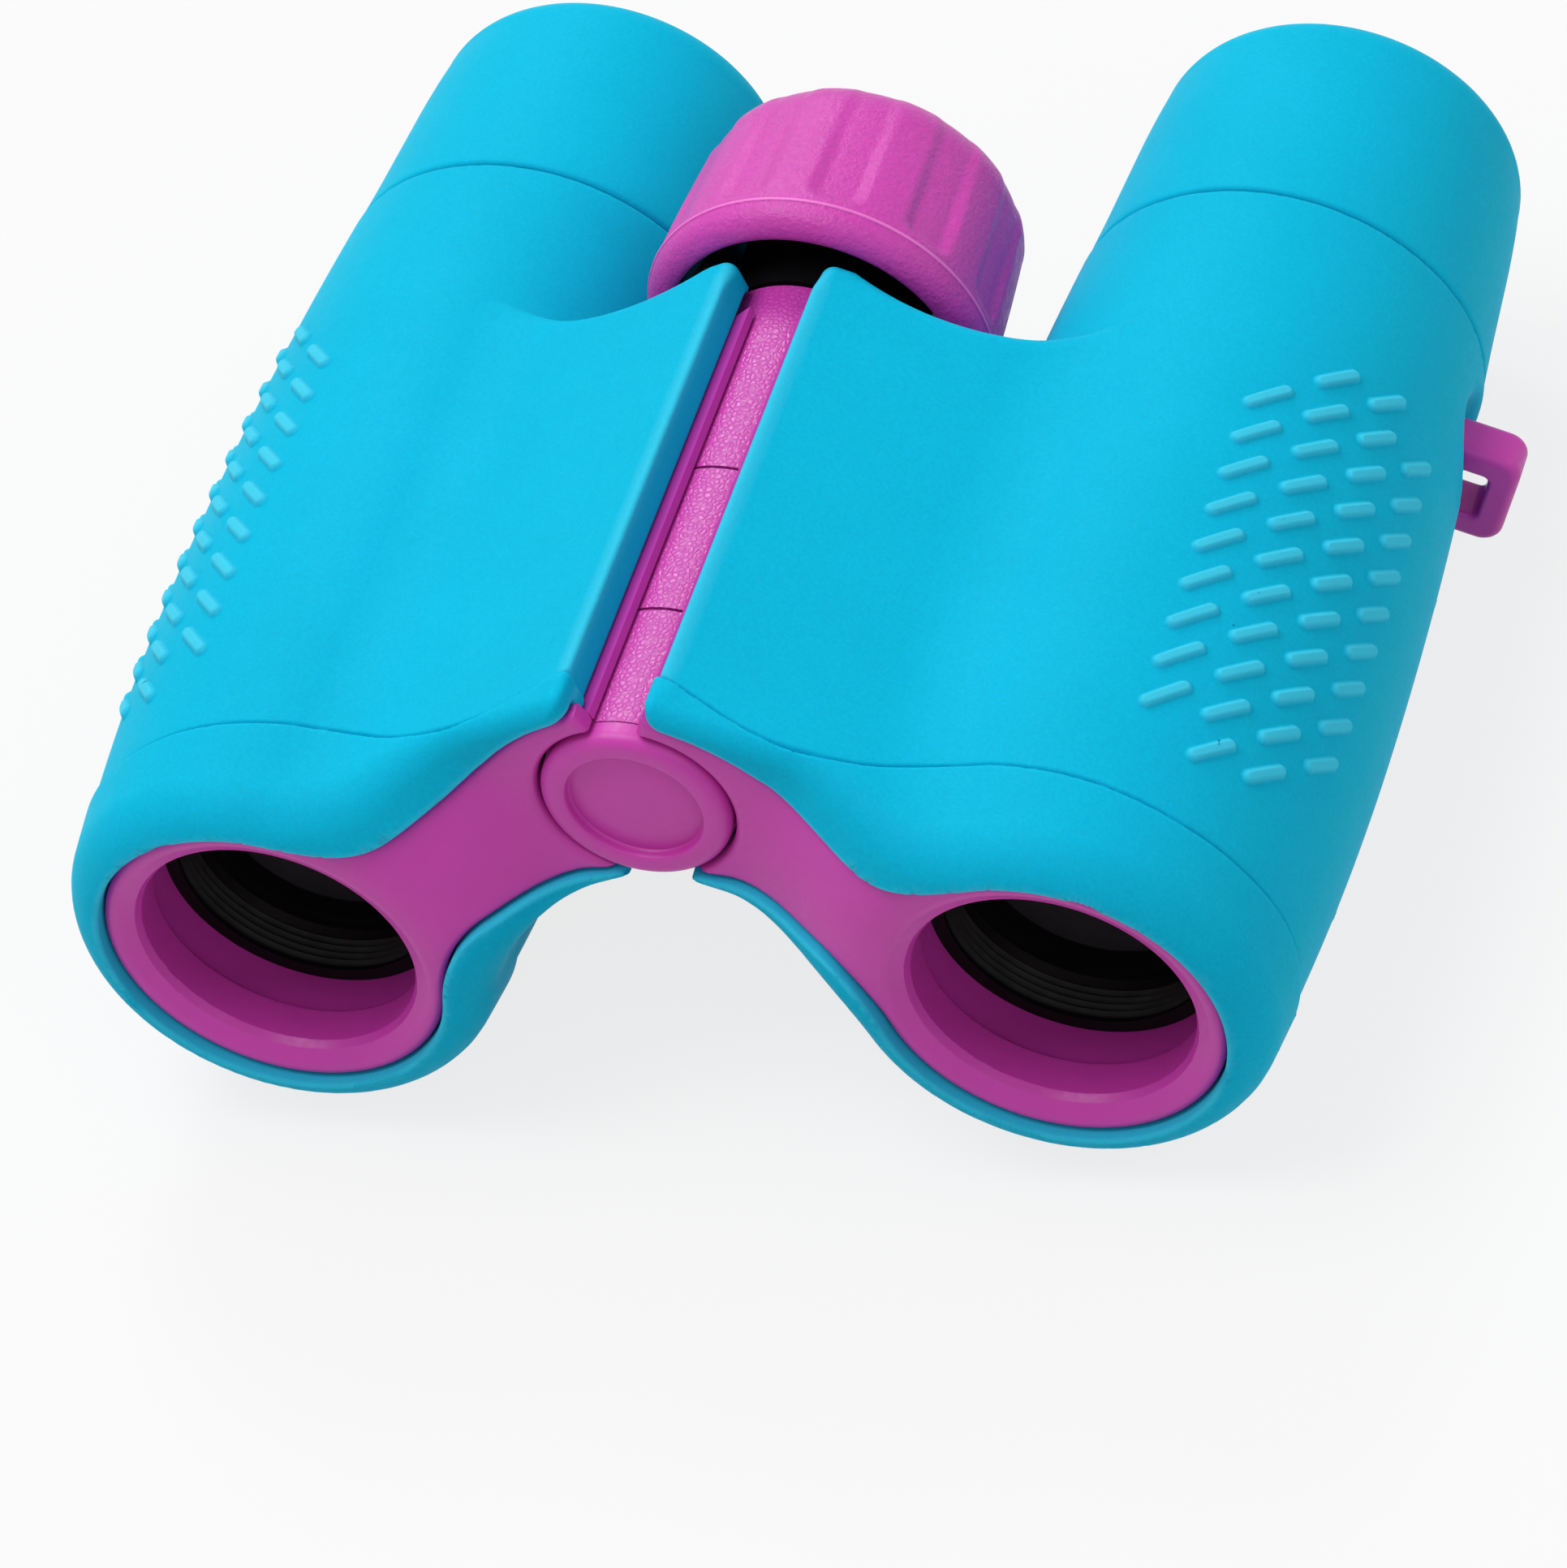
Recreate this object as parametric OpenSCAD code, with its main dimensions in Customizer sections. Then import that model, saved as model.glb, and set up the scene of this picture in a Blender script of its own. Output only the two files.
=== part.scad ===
// Toy binoculars: two barrels that fold about a centre hinge, with a focus knob behind it.
// Lengths are in millimetres and angles in degrees.
// A half is drawn level: x runs from the hinge axis to the barrel axis, y is up and z runs
// from the objective end to the eyepiece. half() folds it, mirrors it and lays it along +Y.

/* [Overall] */
// Distance from the hinge axis to each barrel axis
hinge_to_barrel = 36; // [35:0.5:40]
// Drop of each half below level, in degrees
fold_angle = 23.3; // [14:0.1:32]

/* [Barrel] */
// Outer radius of the pieces that sit in the barrel tube
cell_r = 12.2; // [11.8:0.1:12.8]
// Wall of the barrel tube
tube_wall = 2.5; // [1.8:0.1:2.8]
// Length of the narrower neck that carries the eyecup
neck_len = 9; // [6:0.5:12]
// Step from the tube down to that neck
neck_step = 0.8; // [0.4:0.1:1.2]

/* [Armour] */
// Length of the rubber armour from its front lip to the eyecup
armour_len = 75.1; // [73:0.1:82]
// Armour thickness at the front lip
armour_front_t = 2.4; // [1.8:0.1:3]
// Armour thickness at the belly of the barrel
armour_belly_t = 4.6; // [3.6:0.1:5]
// Armour thickness at the eyecup seam
armour_seam_t = 2.7; // [2:0.1:3.2]
// Distance from the front lip to the belly
belly_z = 33.6; // [28:0.2:40]
// Rounding of the front lip
lip_round = 2.5; // [1:0.1:3]
// Gap between the lip and the front ring
lip_gap = 0.3; // [0.2:0.05:0.6]
// How far the armour stands proud of the front plate
armour_proud = 0.3; // [0.1:0.1:0.6]

/* [Wing] */
// Height of the wing's top face above the hinge axis
wing_top = 12.2; // [11:0.1:13]
// Depth of the wing's underside below the hinge axis
wing_bottom = 6.5; // [6:0.1:8]
// How far the wing's top edge reaches past the hinge axis
wing_overhang = 1.05; // [0.4:0.05:1.2]
// Start of the wing's underside, measured from the hinge axis
wing_low_edge = 6.3; // [6:0.1:8]
// Fillet between the wing's faces and the barrel
wing_fillet = 8; // [4:0.5:12]
// Rear end of the wing beside the hinge
wing_rear_z = 56; // [54:0.2:57]
// Radius of the hollow in the wing's rear edge
hollow_r = 20; // [16:0.5:30]
// Depth of that hollow
hollow_depth = 2.8; // [1:0.1:4]
// Thickness of the armour at the rear of the wing
wing_rear_t = 2; // [1.2:0.1:3]

/* [Grip marks] */
// Length of one raised grip mark
dash_len = 3.9; // [2.5:0.1:5]
// Width of one grip mark
dash_w = 1.4; // [0.8:0.1:2]
// Height of the grip marks above the armour
dash_h = 0.5; // [0.2:0.1:0.8]
// Spacing of the grip marks along the barrel
dash_pitch = 4.1; // [3.6:0.1:5]
// Middle of the first column of grip marks, from the front lip
dash_mid_z = 35.4; // [30:0.2:38]
// Shift of each column towards the eyepiece
dash_stagger = 1.05; // [0:0.05:2]
// Angle of the first column above the outer side of the barrel
dash_first_angle = 87.6; // [80:0.2:95]
// Angle between columns
dash_step_angle = 14.9; // [12:0.1:18]

/* [Front plate] */
// Step from the barrel tube's bore in to the objective mouth
mouth_step = 0.6; // [0.2:0.1:1.4]
// Wall of the ring around the mouth
ring_wall = 2.5; // [2:0.1:2.8]
// Length of that ring along the barrel
ring_len = 4.8; // [4:0.1:7]
// Distance of the ring's face behind the armour lip
ring_setback = 0.6; // [0.2:0.1:1.2]
// Chamfer of the mouth's front edge
mouth_chamfer = 1.2; // [0.3:0.1:1.5]
// Height of the plate's top edge where it is narrowest
bridge_top = 7.3; // [6.8:0.1:8]
// Depth of the plate's lower edge where it is narrowest
bridge_bottom = 3.9; // [3:0.1:4.3]
// Height of the plate's top edge beside the hinge
bridge_hinge_top = 10.3; // [9.5:0.1:10.8]
// Depth of the plate's lower edge beside the hinge
bridge_hinge_bottom = 5.8; // [5:0.1:6]
// Length of the plate's wide end, from the hinge axis
bridge_wide_x = 5.5; // [4.5:0.1:7]
// Distance from the hinge axis to the plate's narrowest part
bridge_waist_x = 13; // [12:0.1:18]
// Fillet between the plate and its ring
plate_fillet = 5; // [2:0.5:7]

/* [Frame web] */
// Height of the web's top face above the hinge axis
web_top = 8.9; // [8.7:0.1:9.4]
// Depth of the web's lower face below the hinge axis
web_bottom = 4.4; // [4:0.1:5]
// How far the web's top edge reaches over the hinge
web_overhang = 1.4; // [1.2:0.1:1.6]
// Wall around the hollow inside the web
web_wall = 1.6; // [1.2:0.1:2]
// Height of the neck that joins a knuckle to the web
knuckle_neck_h = 7.6; // [6:0.2:8.4]

/* [Hinge] */
// Outer radius of the hinge knuckles
hinge_r = 8; // [7.8:0.1:8.2]
// Front face of the front knuckle, from the armour lip
hinge_front_z = 8.3; // [8:0.1:10]
// Length of the front knuckle
front_knuckle_len = 12.1; // [10:0.1:13]
// Length of the middle knuckle
middle_knuckle_len = 15.5; // [14:0.1:17]
// Length of the rear knuckle
rear_knuckle_len = 20.7; // [20.2:0.1:21.4]
// Gap between knuckles
knuckle_gap = 0.3; // [0.2:0.05:0.5]
// Gap around the knuckles of the other half
hinge_gap = 0.3; // [0.2:0.05:0.4]
// Wall at the front of the rear knuckle
knuckle_wall = 1.7; // [1.4:0.1:2.2]
// Outer radius of the hinge axle
axle_r = 4; // [3.8:0.05:4.1]
// Wall of the hollow axle
axle_wall = 1.44; // [1.2:0.02:1.6]
// Outer radius of the friction washers
washer_r = 6; // [5.4:0.1:6.6]
// Thickness of the friction washers
washer_t = 1; // [0.8:0.1:1.1]
// Radius of the hinge screw's head
screw_head_r = 4.8; // [4.4:0.1:5.4]
// Thickness of the hinge screw's head
screw_head_t = 1.4; // [1:0.1:2]
// Length of the hinge screw's shank
screw_len = 8; // [5:0.5:12]
// Radius of the hinge cap
cap_r = 7.92; // [7.5:0.02:8.1]
// Thickness of the hinge cap
cap_t = 2; // [1.6:0.1:2.4]
// Rounding of the hinge cap's rim
cap_round = 0.8; // [0.3:0.1:1]
// Radius of the recess in the hinge cap
cap_recess_r = 5.6; // [4:0.1:6.2]
// Depth of that recess
cap_recess = 0.5; // [0.2:0.1:0.8]
// Gap between the hinge cap and the front plates
cap_gap = 0.3; // [0.2:0.05:0.5]

/* [Focus] */
// Travel of the objective cells each way
focus_travel = 1.9; // [1.5:0.05:2]
// Height of the focus arms
arm_h = 2.6; // [2:0.1:3]
// Width of the focus arms along the barrel
arm_w = 3.5; // [3:0.1:3.6]
// How deep a focus arm reaches into its objective cell
arm_grip = 1.6; // [1:0.1:2]
// Outer radius of the focus carriage
carriage_r = 6.1; // [5.9:0.05:6.2]
// Wall of the carriage's sleeve
carriage_wall = 0.95; // [0.8:0.05:1]
// Thickness of the carriage's rear flange
flange_t = 0.8; // [0.6:0.1:1]
// Radius of the cross pin
pin_r = 1; // [0.8:0.05:1.1]
// Distance from the armour lip to the front of the objective cells
cell_z = 9.2; // [8:0.1:11]

/* [Knob] */
// Largest radius of the focus knob
knob_r = 14.8; // [14:0.1:15.2]
// Radius of the knob at its rear
knob_rear_r = 13.9; // [13.4:0.1:14.4]
// Length of the knob
knob_len = 19.4; // [17:0.2:21]
// Distance from the knob's front edge to its parting line
knob_bead = 2; // [1.4:0.1:2.6]
// Bore radius of the hollow knob
knob_bore_r = 12.2; // [11.5:0.1:12.6]
// Gap between the hinge and the knob
knob_gap = 0.8; // [0.5:0.1:1.4]
// Thickness of the knob's back wall
knob_back_t = 2.6; // [2.2:0.1:3.2]
// Rounding of the knob's rear edge
knob_round = 4; // [1:0.2:4.4]
// Number of grip flutes around the knob
flute_count = 11; // [7:1:13]
// Width of a grip flute
flute_w = 4.4; // [3:0.1:5]
// Depth of a grip flute
flute_depth = 0.6; // [0.3:0.1:1]
// Rounding of a grip flute's front corners
flute_round = 1.2; // [0.4:0.1:1.4]
// Distance from the parting line to the flutes
flute_setback = 1.2; // [0.6:0.1:3]
// Radius of the knob's end cap
end_cap_r = 9; // [7:0.1:10]
// Thickness of the knob's end cap
end_cap_t = 1.6; // [1:0.1:2]
// Outer radius of the knob's hub
hub_r = 8.2; // [7.6:0.1:9]
// Wall of the black lining inside the knob
hub_lining = 0.8; // [0.4:0.1:1.5]
// Length of the hub's bearing on the axle
bearing_len = 5.9; // [5:0.1:7]
// Thickness of the clip that holds the hub on the axle
clip_t = 0.8; // [0.6:0.1:1]
// Depth of the clip's groove in the axle
clip_groove = 0.5; // [0.3:0.05:0.6]
// Outer radius of the clip
clip_r = 5.2; // [4.8:0.1:5.6]

/* [Optics] */
// Wall of the objective cell around its lens
cell_wall = 1.7; // [1.4:0.1:2.4]
// Wall of the objective cell in front of the lens
baffle_wall = 1.2; // [1:0.05:1.3]
// Depth of the light-stop grooves in that wall
baffle_groove = 0.4; // [0.2:0.05:0.5]
// Number of grooves
baffle_count = 5; // [3:1:7]
// Length of the grooved bore
baffle_len = 4.4; // [3.6:0.2:8]
// Edge thickness of the objective's front element
crown_edge_t = 1.6; // [1.2:0.1:2]
// Edge thickness of the objective's rear element
flint_edge_t = 2.6; // [2.4:0.1:3]
// Height of the domed lens faces
lens_dome_h = 1; // [0.6:0.1:1.2]
// Thickness of the retaining rings
retainer_t = 1.8; // [1.2:0.1:2.4]
// Wall of the retaining rings and of the lens seats
retainer_wall = 0.95; // [0.8:0.05:1.2]
// Thickness of the prism cage at the prisms' corners
cage_wall = 2.35; // [2:0.05:3]
// Air gap between the two prisms
prism_gap = 0.3; // [0.2:0.05:0.6]
// Wall of the eyepiece tube around its lenses
eyepiece_wall = 2.2; // [1.8:0.1:2.8]
// Distance from the eyepiece tube's front end to its field lens
eyepiece_lead = 6; // [3:0.5:9]
// Edge thickness of the eyepiece lenses
eye_lens_edge_t = 2.2; // [1.6:0.1:2.6]
// Length of the spacer between the eyepiece lenses
spacer_len = 6; // [4:0.2:7]

/* [Eyecup] */
// Length of the eyecup
eyecup_len = 24; // [23:0.2:28]
// Gap between the armour and the eyecup
seam_gap = 0.3; // [0.2:0.05:0.5]
// Step from the armour down to the eyecup
eyecup_step = 0.15; // [0:0.05:0.4]
// Narrowing of the eyecup towards the eye
eyecup_taper = 1.9; // [1:0.1:2.4]
// Rounding of the eyecup's rear edge
eyecup_round = 3; // [1.5:0.1:3.4]
// Reach of the eyecup's rear lip over the eyepiece
eyecup_lip_w = 1.7; // [1.2:0.1:2.6]
// Thickness of the eyecup's rear lip
eyecup_lip_t = 3; // [2:0.1:3.4]
// Travel of the right eyepiece each way
dioptre_travel = 1.2; // [0.6:0.1:1.4]
// Gap between the eyecup and the eyepiece tube inside it
eyecup_inner_gap = 0.5; // [0.3:0.05:0.8]

/* [Strap lug] */
// Length of the lug from the barrel tube to its tip
lug_len = 8.6; // [7.8:0.1:10]
// Height of the lug
lug_h = 9.2; // [8:0.1:11]
// Thickness of the lug along the barrel
lug_t = 4.5; // [3:0.1:5]
// Distance from the lug's front face to the eyecup seam
lug_setback = 9.3; // [7:0.1:14]
// Wall of the lug around its slot
lug_wall = 2.2; // [1.6:0.1:2.4]
// Width of the strap slot
lug_slot_w = 3.1; // [2.6:0.1:3.4]
// Rounding of the lug's corners
lug_round = 1.7; // [1:0.1:2]
// Radius of the dish around the lug
dish_r = 9; // [8:0.5:14]
// Depth of that dish
dish_depth = 1.2; // [0.5:0.1:1.6]

/* [Hidden] */

$fn = 72;
left = -1;
right = 1;
blue = "deepskyblue";
magenta = "mediumvioletred";
black = [0.08, 0.08, 0.09];
steel = "silver";
glass = "lightcyan";

// Clearances that every fit uses
slide_clearance = 0.06;
seat_gap = 0.05;
end_gap = 0.5;
side_gap = 0.1;
// Overrun of every cut
over = 1;
// Straight steps along a curved outline
curve_steps = 10;
round_steps = 5;
// Columns of grip marks, as the number of marks in each
dash_counts = [9, 11, 11, 9];
dash_tilt = 45;
// How far the fold runs each way, in degrees, with room to spare in the rear knuckle
fold_open = 26;
fold_close = 30;
fold_margin = 4;

tube_bore_r = cell_r + slide_clearance;
tube_r = tube_bore_r + tube_wall;
mouth_r = cell_r - mouth_step;
lens_r = cell_r - cell_wall;
baffle_r = cell_r - baffle_wall;
eye_lens_r = cell_r - eyepiece_wall;
prism_corner_r = cell_r - cage_wall;
prism_shares = [0.66, 0.75];
prism_w = 2 * prism_corner_r * prism_shares[0];
prism_h = prism_corner_r * prism_shares[1];
eyecup_inner_r = cell_r + eyecup_inner_gap;
eyecup_mouth_r = eyecup_inner_r - eyecup_lip_w;
lug_foot = tube_r + seat_gap;
lug_reach = lug_foot + lug_len;
lug_z = armour_len - lug_setback;
armour_bore_r = tube_r + seat_gap;
armour_front_r = armour_bore_r + armour_front_t;
belly_r = armour_bore_r + armour_belly_t;
seam_r = armour_bore_r + armour_seam_t;
ring_r = mouth_r + ring_wall;
lip_bore_r = ring_r + lip_gap;
tube_front_z = ring_setback + ring_len + seat_gap;
neck_r = tube_r - neck_step;
eyecup_z = armour_len + seam_gap;
total_len = eyecup_z + eyecup_len;
hinge_height = hinge_to_barrel * sin(fold_angle) + belly_r;
far = hinge_to_barrel + belly_r + lug_reach;

// Knuckle spans along the hinge
front_end_z = hinge_front_z + front_knuckle_len;
middle_z = front_end_z + knuckle_gap;
middle_end_z = middle_z + middle_knuckle_len;
rear_z = middle_end_z + knuckle_gap;
rear_end_z = rear_z + rear_knuckle_len;

// Focus carriage inside the rear knuckle
chamber_z = rear_z + knuckle_wall;
carriage_z = chamber_z + focus_travel + end_gap;
right_arm_z = carriage_z + arm_w + side_gap;
flange_z = right_arm_z + arm_w + side_gap;
chamber_end_z = flange_z + flange_t + focus_travel + end_gap;
chamber_r = carriage_r + 2 * side_gap;
sleeve_r = axle_r + slide_clearance + carriage_wall;
axle_bore_r = axle_r - axle_wall;
rod_r = axle_bore_r - slide_clearance;
axle_seat_r = axle_r + slide_clearance;

// Pieces along the barrel
cell_end_z = right_arm_z + arm_w + arm_grip;
cage_z = cell_end_z + focus_travel + end_gap;
eyepiece_end_z = total_len - eyecup_lip_t - dioptre_travel - end_gap;
cell_bore_r = lens_r - retainer_wall;
eye_bore_r = eye_lens_r - retainer_wall;
// Room between a lens's edge and the ring that rests on its dome
lens_ring_gap = seat_gap + lens_dome_h * (1 - pow(cell_bore_r / lens_r, 2));
eye_ring_gap = seat_gap + lens_dome_h * (1 - pow(eye_bore_r / eye_lens_r, 2));
lens_z = cell_z + baffle_len + retainer_t + lens_ring_gap;
eye_retainer_z = eyepiece_end_z - retainer_t - end_gap;
eye_lens_z = eye_retainer_z - eye_ring_gap - eye_lens_edge_t;
spacer_z = eye_lens_z - eye_ring_gap - spacer_len;
field_lens_z = spacer_z - eye_ring_gap - eye_lens_edge_t;
eyepiece_z = field_lens_z - eyepiece_lead;
cage_len = eyepiece_z - dioptre_travel - end_gap - cage_z;

// Pieces along the hinge and the knob
cap_z = hinge_front_z - seat_gap - cap_t;
plate_hinge_z = cap_z + armour_proud;
axle_z = hinge_front_z + screw_head_t + seat_gap;
hub_z = rear_end_z + knuckle_gap;
clip_z = hub_z + bearing_len + side_gap;
axle_end_z = clip_z + 2 * clip_t;
nut_z = axle_end_z + end_gap;
knob_z = rear_end_z + knob_gap;
knob_end_z = knob_z + knob_len;
knob_back_z = knob_end_z - knob_back_t;
hub_end_z = knob_back_z - seat_gap;
rod_z = carriage_z - pin_r;
rod_end_z = hub_end_z - focus_travel - end_gap;
web_rear_z = wing_rear_z - hollow_depth - wing_rear_t;
hollow_x = hinge_r + wing_overhang;
hollow_z = wing_rear_z - hollow_depth + hollow_r;
lug_mid_z = lug_z + lug_t / 2;

function smooth(t) = t <= 0 ? 0 : t >= 1 ? 1 : t * t * (3 - 2 * t);
// Outer radius of the armour at a distance z from its lip
function armour_r(z) = z < belly_z
    ? belly_r - (belly_r - armour_front_r) * pow((belly_z - z) / belly_z, 2)
    : belly_r - (belly_r - seam_r) * pow((z - belly_z) / (armour_len - belly_z), 2);
// Distance of the front plate's face behind the lip, at a radius r from the barrel axis
function face_z(r) = ring_setback
    + (plate_hinge_z - ring_setback) * smooth((r - ring_r) / (hinge_to_barrel - cap_r - ring_r));
// Points of a quarter round from angle a to angle b
function quarter(centre, r, a, b) = [
    for (i = [0 : round_steps])
        let (t = a + (b - a) * i / round_steps) centre + r * [cos(t), sin(t)]
];
// Points of a lens face from the axis to the edge, which lies at the height edge
function lens_face(r, edge) = [
    for (i = [0 : curve_steps])
        let (s = i / curve_steps) [r * s, edge + lens_dome_h - lens_dome_h * s * s]
];
function flip(points) = [for (i = [len(points) - 1 : -1 : 0]) points[i]];

// Lays a drawing along +Y, with the hinge axis at its height above the rest plane
module lay_down() {
    translate([0, -total_len / 2, hinge_height]) mirror([0, 1, -1]) children();
}

module half(side) {
    lay_down() {
        if (side == left) mirror([1, 0, 0]) rotate([0, 0, -fold_angle]) children();
        else rotate([0, 0, -fold_angle]) children();
    }
}

module at_barrel(z = 0) {
    translate([hinge_to_barrel, 0, z]) children();
}

module rod(r, z0, z1) {
    translate([0, 0, z0]) cylinder(r = r, h = z1 - z0);
}

module ring(r_out, r_in, z0, z1) {
    difference() {
        rod(r_out, z0, z1);
        rod(r_in, z0 - over, z1 + over);
    }
}

module block(x0, x1, y0, y1, z0, z1) {
    translate([x0, y0, z0]) cube([x1 - x0, y1 - y0, z1 - z0]);
}

module rounded_square(w, h, r) {
    square([w, h - 2 * r], center = true);
    square([w - 2 * r, h], center = true);
    for (sx = [-1, 1], sy = [-1, 1]) translate([sx * (w / 2 - r), sy * (h / 2 - r)]) circle(r);
}

// Fills the corner between a level line at height y and a circle about the barrel axis
module corner_fill(y, circle_r, fill_r) {
    cy = y + fill_r;
    cx = hinge_to_barrel - sqrt(pow(circle_r + fill_r, 2) - cy * cy);
    touch = [hinge_to_barrel, 0]
        + [cx - hinge_to_barrel, cy] * circle_r / (circle_r + fill_r);
    difference() {
        polygon([[cx, y - seat_gap], [hinge_to_barrel, y - seat_gap], touch, [cx, cy]]);
        translate([cx, cy]) circle(fill_r);
    }
}

// Everything behind the sloping front face, which turns about the barrel axis
module behind_face(shift) {
    at_barrel() rotate_extrude() polygon(concat(
        [for (i = [0 : 2 * curve_steps])
            let (r = far * i / (2 * curve_steps)) [r, face_z(r) + shift]],
        [[far, total_len], [0, total_len]]
    ));
}

// Cuts the hollow in the wing's rear edge, t further forward
module rear_hollow(t) {
    translate([hollow_x, 0, hollow_z]) rotate([90, 0, 0])
        cylinder(r = hollow_r + t, h = 2 * far, center = true);
    block(-far, far, -far, far, hollow_z, total_len + over);
}

// Outline of the front plate, with its edges moved out by grow
module plate_outline(grow) {
    translate([hinge_to_barrel, 0]) circle(ring_r + grow);
    corner_fill(bridge_top + grow, ring_r + grow, plate_fillet);
    mirror([0, 1]) corner_fill(bridge_bottom + grow, ring_r + grow, plate_fillet);
    difference() {
        polygon([
            [-web_overhang - grow, bridge_hinge_top + grow],
            [bridge_wide_x, bridge_hinge_top + grow],
            [bridge_waist_x, bridge_top + grow],
            [hinge_to_barrel, bridge_top + grow],
            [hinge_to_barrel, -bridge_bottom - grow],
            [bridge_waist_x, -bridge_bottom - grow],
            [bridge_wide_x, -bridge_hinge_bottom - grow],
            [0, -bridge_hinge_bottom - grow],
            [0, 0],
            [-web_overhang - grow, 0]
        ]);
        circle(cap_r + cap_gap - grow);
    }
}

// Slot for a focus arm, from the hinge axis out to x_end
module arm_slot(z0, x_end) {
    block(0, x_end, -arm_h / 2 - end_gap, arm_h / 2 + end_gap,
        z0 - focus_travel - end_gap, z0 + arm_w + focus_travel + end_gap);
}

// Web between the hinge and the barrel, t larger all round
module web_block(t) {
    difference() {
        block(-web_overhang - t, hinge_to_barrel, -web_bottom - t, web_top + t,
            hinge_front_z - t, wing_rear_z);
        rear_hollow(wing_rear_t - t);
    }
}

module knuckle(z0, z1) {
    rod(hinge_r, z0, z1);
    block(0, hinge_r + web_wall, -knuckle_neck_h / 2, knuckle_neck_h / 2,
        z0, min(z1, web_rear_z));
}

// Hollow inside the web, where the focus arm travels
module web_pocket() {
    difference() {
        block(0, hinge_to_barrel, web_wall - web_bottom, web_top - web_wall,
            hinge_front_z + web_wall, wing_rear_z);
        rod(hinge_r + hinge_gap + web_wall, 0, total_len);
        at_barrel() rod(tube_r, 0, total_len);
        rear_hollow(wing_rear_t + web_wall);
    }
}

// Opening in the rear knuckle for the right arm, as a wedge over the whole fold
module fold_window() {
    spread = asin((arm_h / 2 + end_gap) / chamber_r) + fold_margin;
    start = 180 + 2 * fold_angle - fold_open - spread;
    sweep = fold_open + fold_close + 2 * spread;
    translate([0, 0, right_arm_z - focus_travel - end_gap])
        linear_extrude(arm_w + 2 * (focus_travel + end_gap)) polygon(concat(
            [[0, 0]],
            [for (i = [0 : curve_steps])
                let (a = start + sweep * i / curve_steps) 2 * hinge_r * [cos(a), sin(a)]]
        ));
}

module frame(side) {
    arm_z = side == left ? carriage_z : right_arm_z;
    color(magenta) half(side) difference() {
        union() {
            at_barrel() rod(tube_r, tube_front_z, armour_len);
            at_barrel() rod(neck_r, armour_len - over, armour_len + neck_len);
            difference() {
                web_block(0);
                rod(hinge_r + hinge_gap, 0, total_len);
            }
            if (side == left) {
                knuckle(hinge_front_z, front_end_z);
                knuckle(rear_z, rear_end_z);
            } else knuckle(middle_z, middle_end_z);
        }
        at_barrel() rod(tube_bore_r, 0, total_len);
        web_pocket();
        arm_slot(arm_z, hinge_to_barrel);
        rod(axle_seat_r, 0, total_len);
        if (side == left) {
            rod(chamber_r, chamber_z, chamber_end_z);
            rod(screw_head_r + side_gap, 0, axle_z);
            rod(washer_r + side_gap, front_end_z - washer_t + side_gap, middle_z);
            rod(washer_r + side_gap, middle_end_z, rear_z + washer_t - side_gap);
            fold_window();
        }
    }
}

module front_plate(side) {
    color(magenta) half(side) intersection() {
        behind_face(0);
        difference() {
            union() {
                at_barrel() rod(ring_r, 0, tube_front_z - seat_gap);
                difference() {
                    linear_extrude(hinge_front_z - seat_gap) plate_outline(0);
                    at_barrel() rod(tube_r + seat_gap, tube_front_z - seat_gap, total_len);
                }
            }
            at_barrel() rod(mouth_r, -over, total_len);
            at_barrel(ring_setback) cylinder(
                r1 = mouth_r + mouth_chamfer, r2 = mouth_r, h = mouth_chamfer);
        }
    }
}

module grip_marks() {
    for (column = [0 : len(dash_counts) - 1], i = [0 : dash_counts[column] - 1]) {
        z = dash_mid_z + column * dash_stagger + (i - (dash_counts[column] - 1) / 2) * dash_pitch;
        at_barrel(z) rotate([0, 0, dash_first_angle - column * dash_step_angle])
            translate([armour_r(z) - dash_w, 0, 0]) rotate([0, 90, 0])
                linear_extrude(dash_w + dash_h) rotate(dash_tilt)
                    rounded_square(dash_len, dash_w, dash_w / 2 - seat_gap);
    }
}

module barrel_shell() {
    edge = min(lip_round, (armour_front_r - lip_bore_r) - seat_gap);
    rotate_extrude() polygon(concat(
        [[lip_bore_r, tube_front_z], [lip_bore_r, 0]],
        quarter([armour_r(edge) - edge, edge], edge, -90, 0),
        [for (i = [1 : 2 * curve_steps])
            let (z = edge + (armour_len - edge) * i / (2 * curve_steps)) [armour_r(z), z]],
        [[armour_bore_r, armour_len], [armour_bore_r, tube_front_z]]
    ));
}

module wing_outline() {
    circle_r = armour_r(hinge_front_z);
    difference() {
        union() {
            polygon([
                [-wing_overhang, wing_top], [hinge_to_barrel, wing_top],
                [hinge_to_barrel, -wing_bottom], [wing_low_edge, -wing_bottom],
                [wing_low_edge, 0], [-wing_overhang, 0]
            ]);
            corner_fill(wing_top, circle_r, wing_fillet);
            mirror([0, 1]) corner_fill(wing_bottom, circle_r, wing_fillet);
        }
        circle(hinge_r + 2 * hinge_gap);
        translate([hinge_to_barrel, 0]) circle(armour_bore_r);
    }
}

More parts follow.
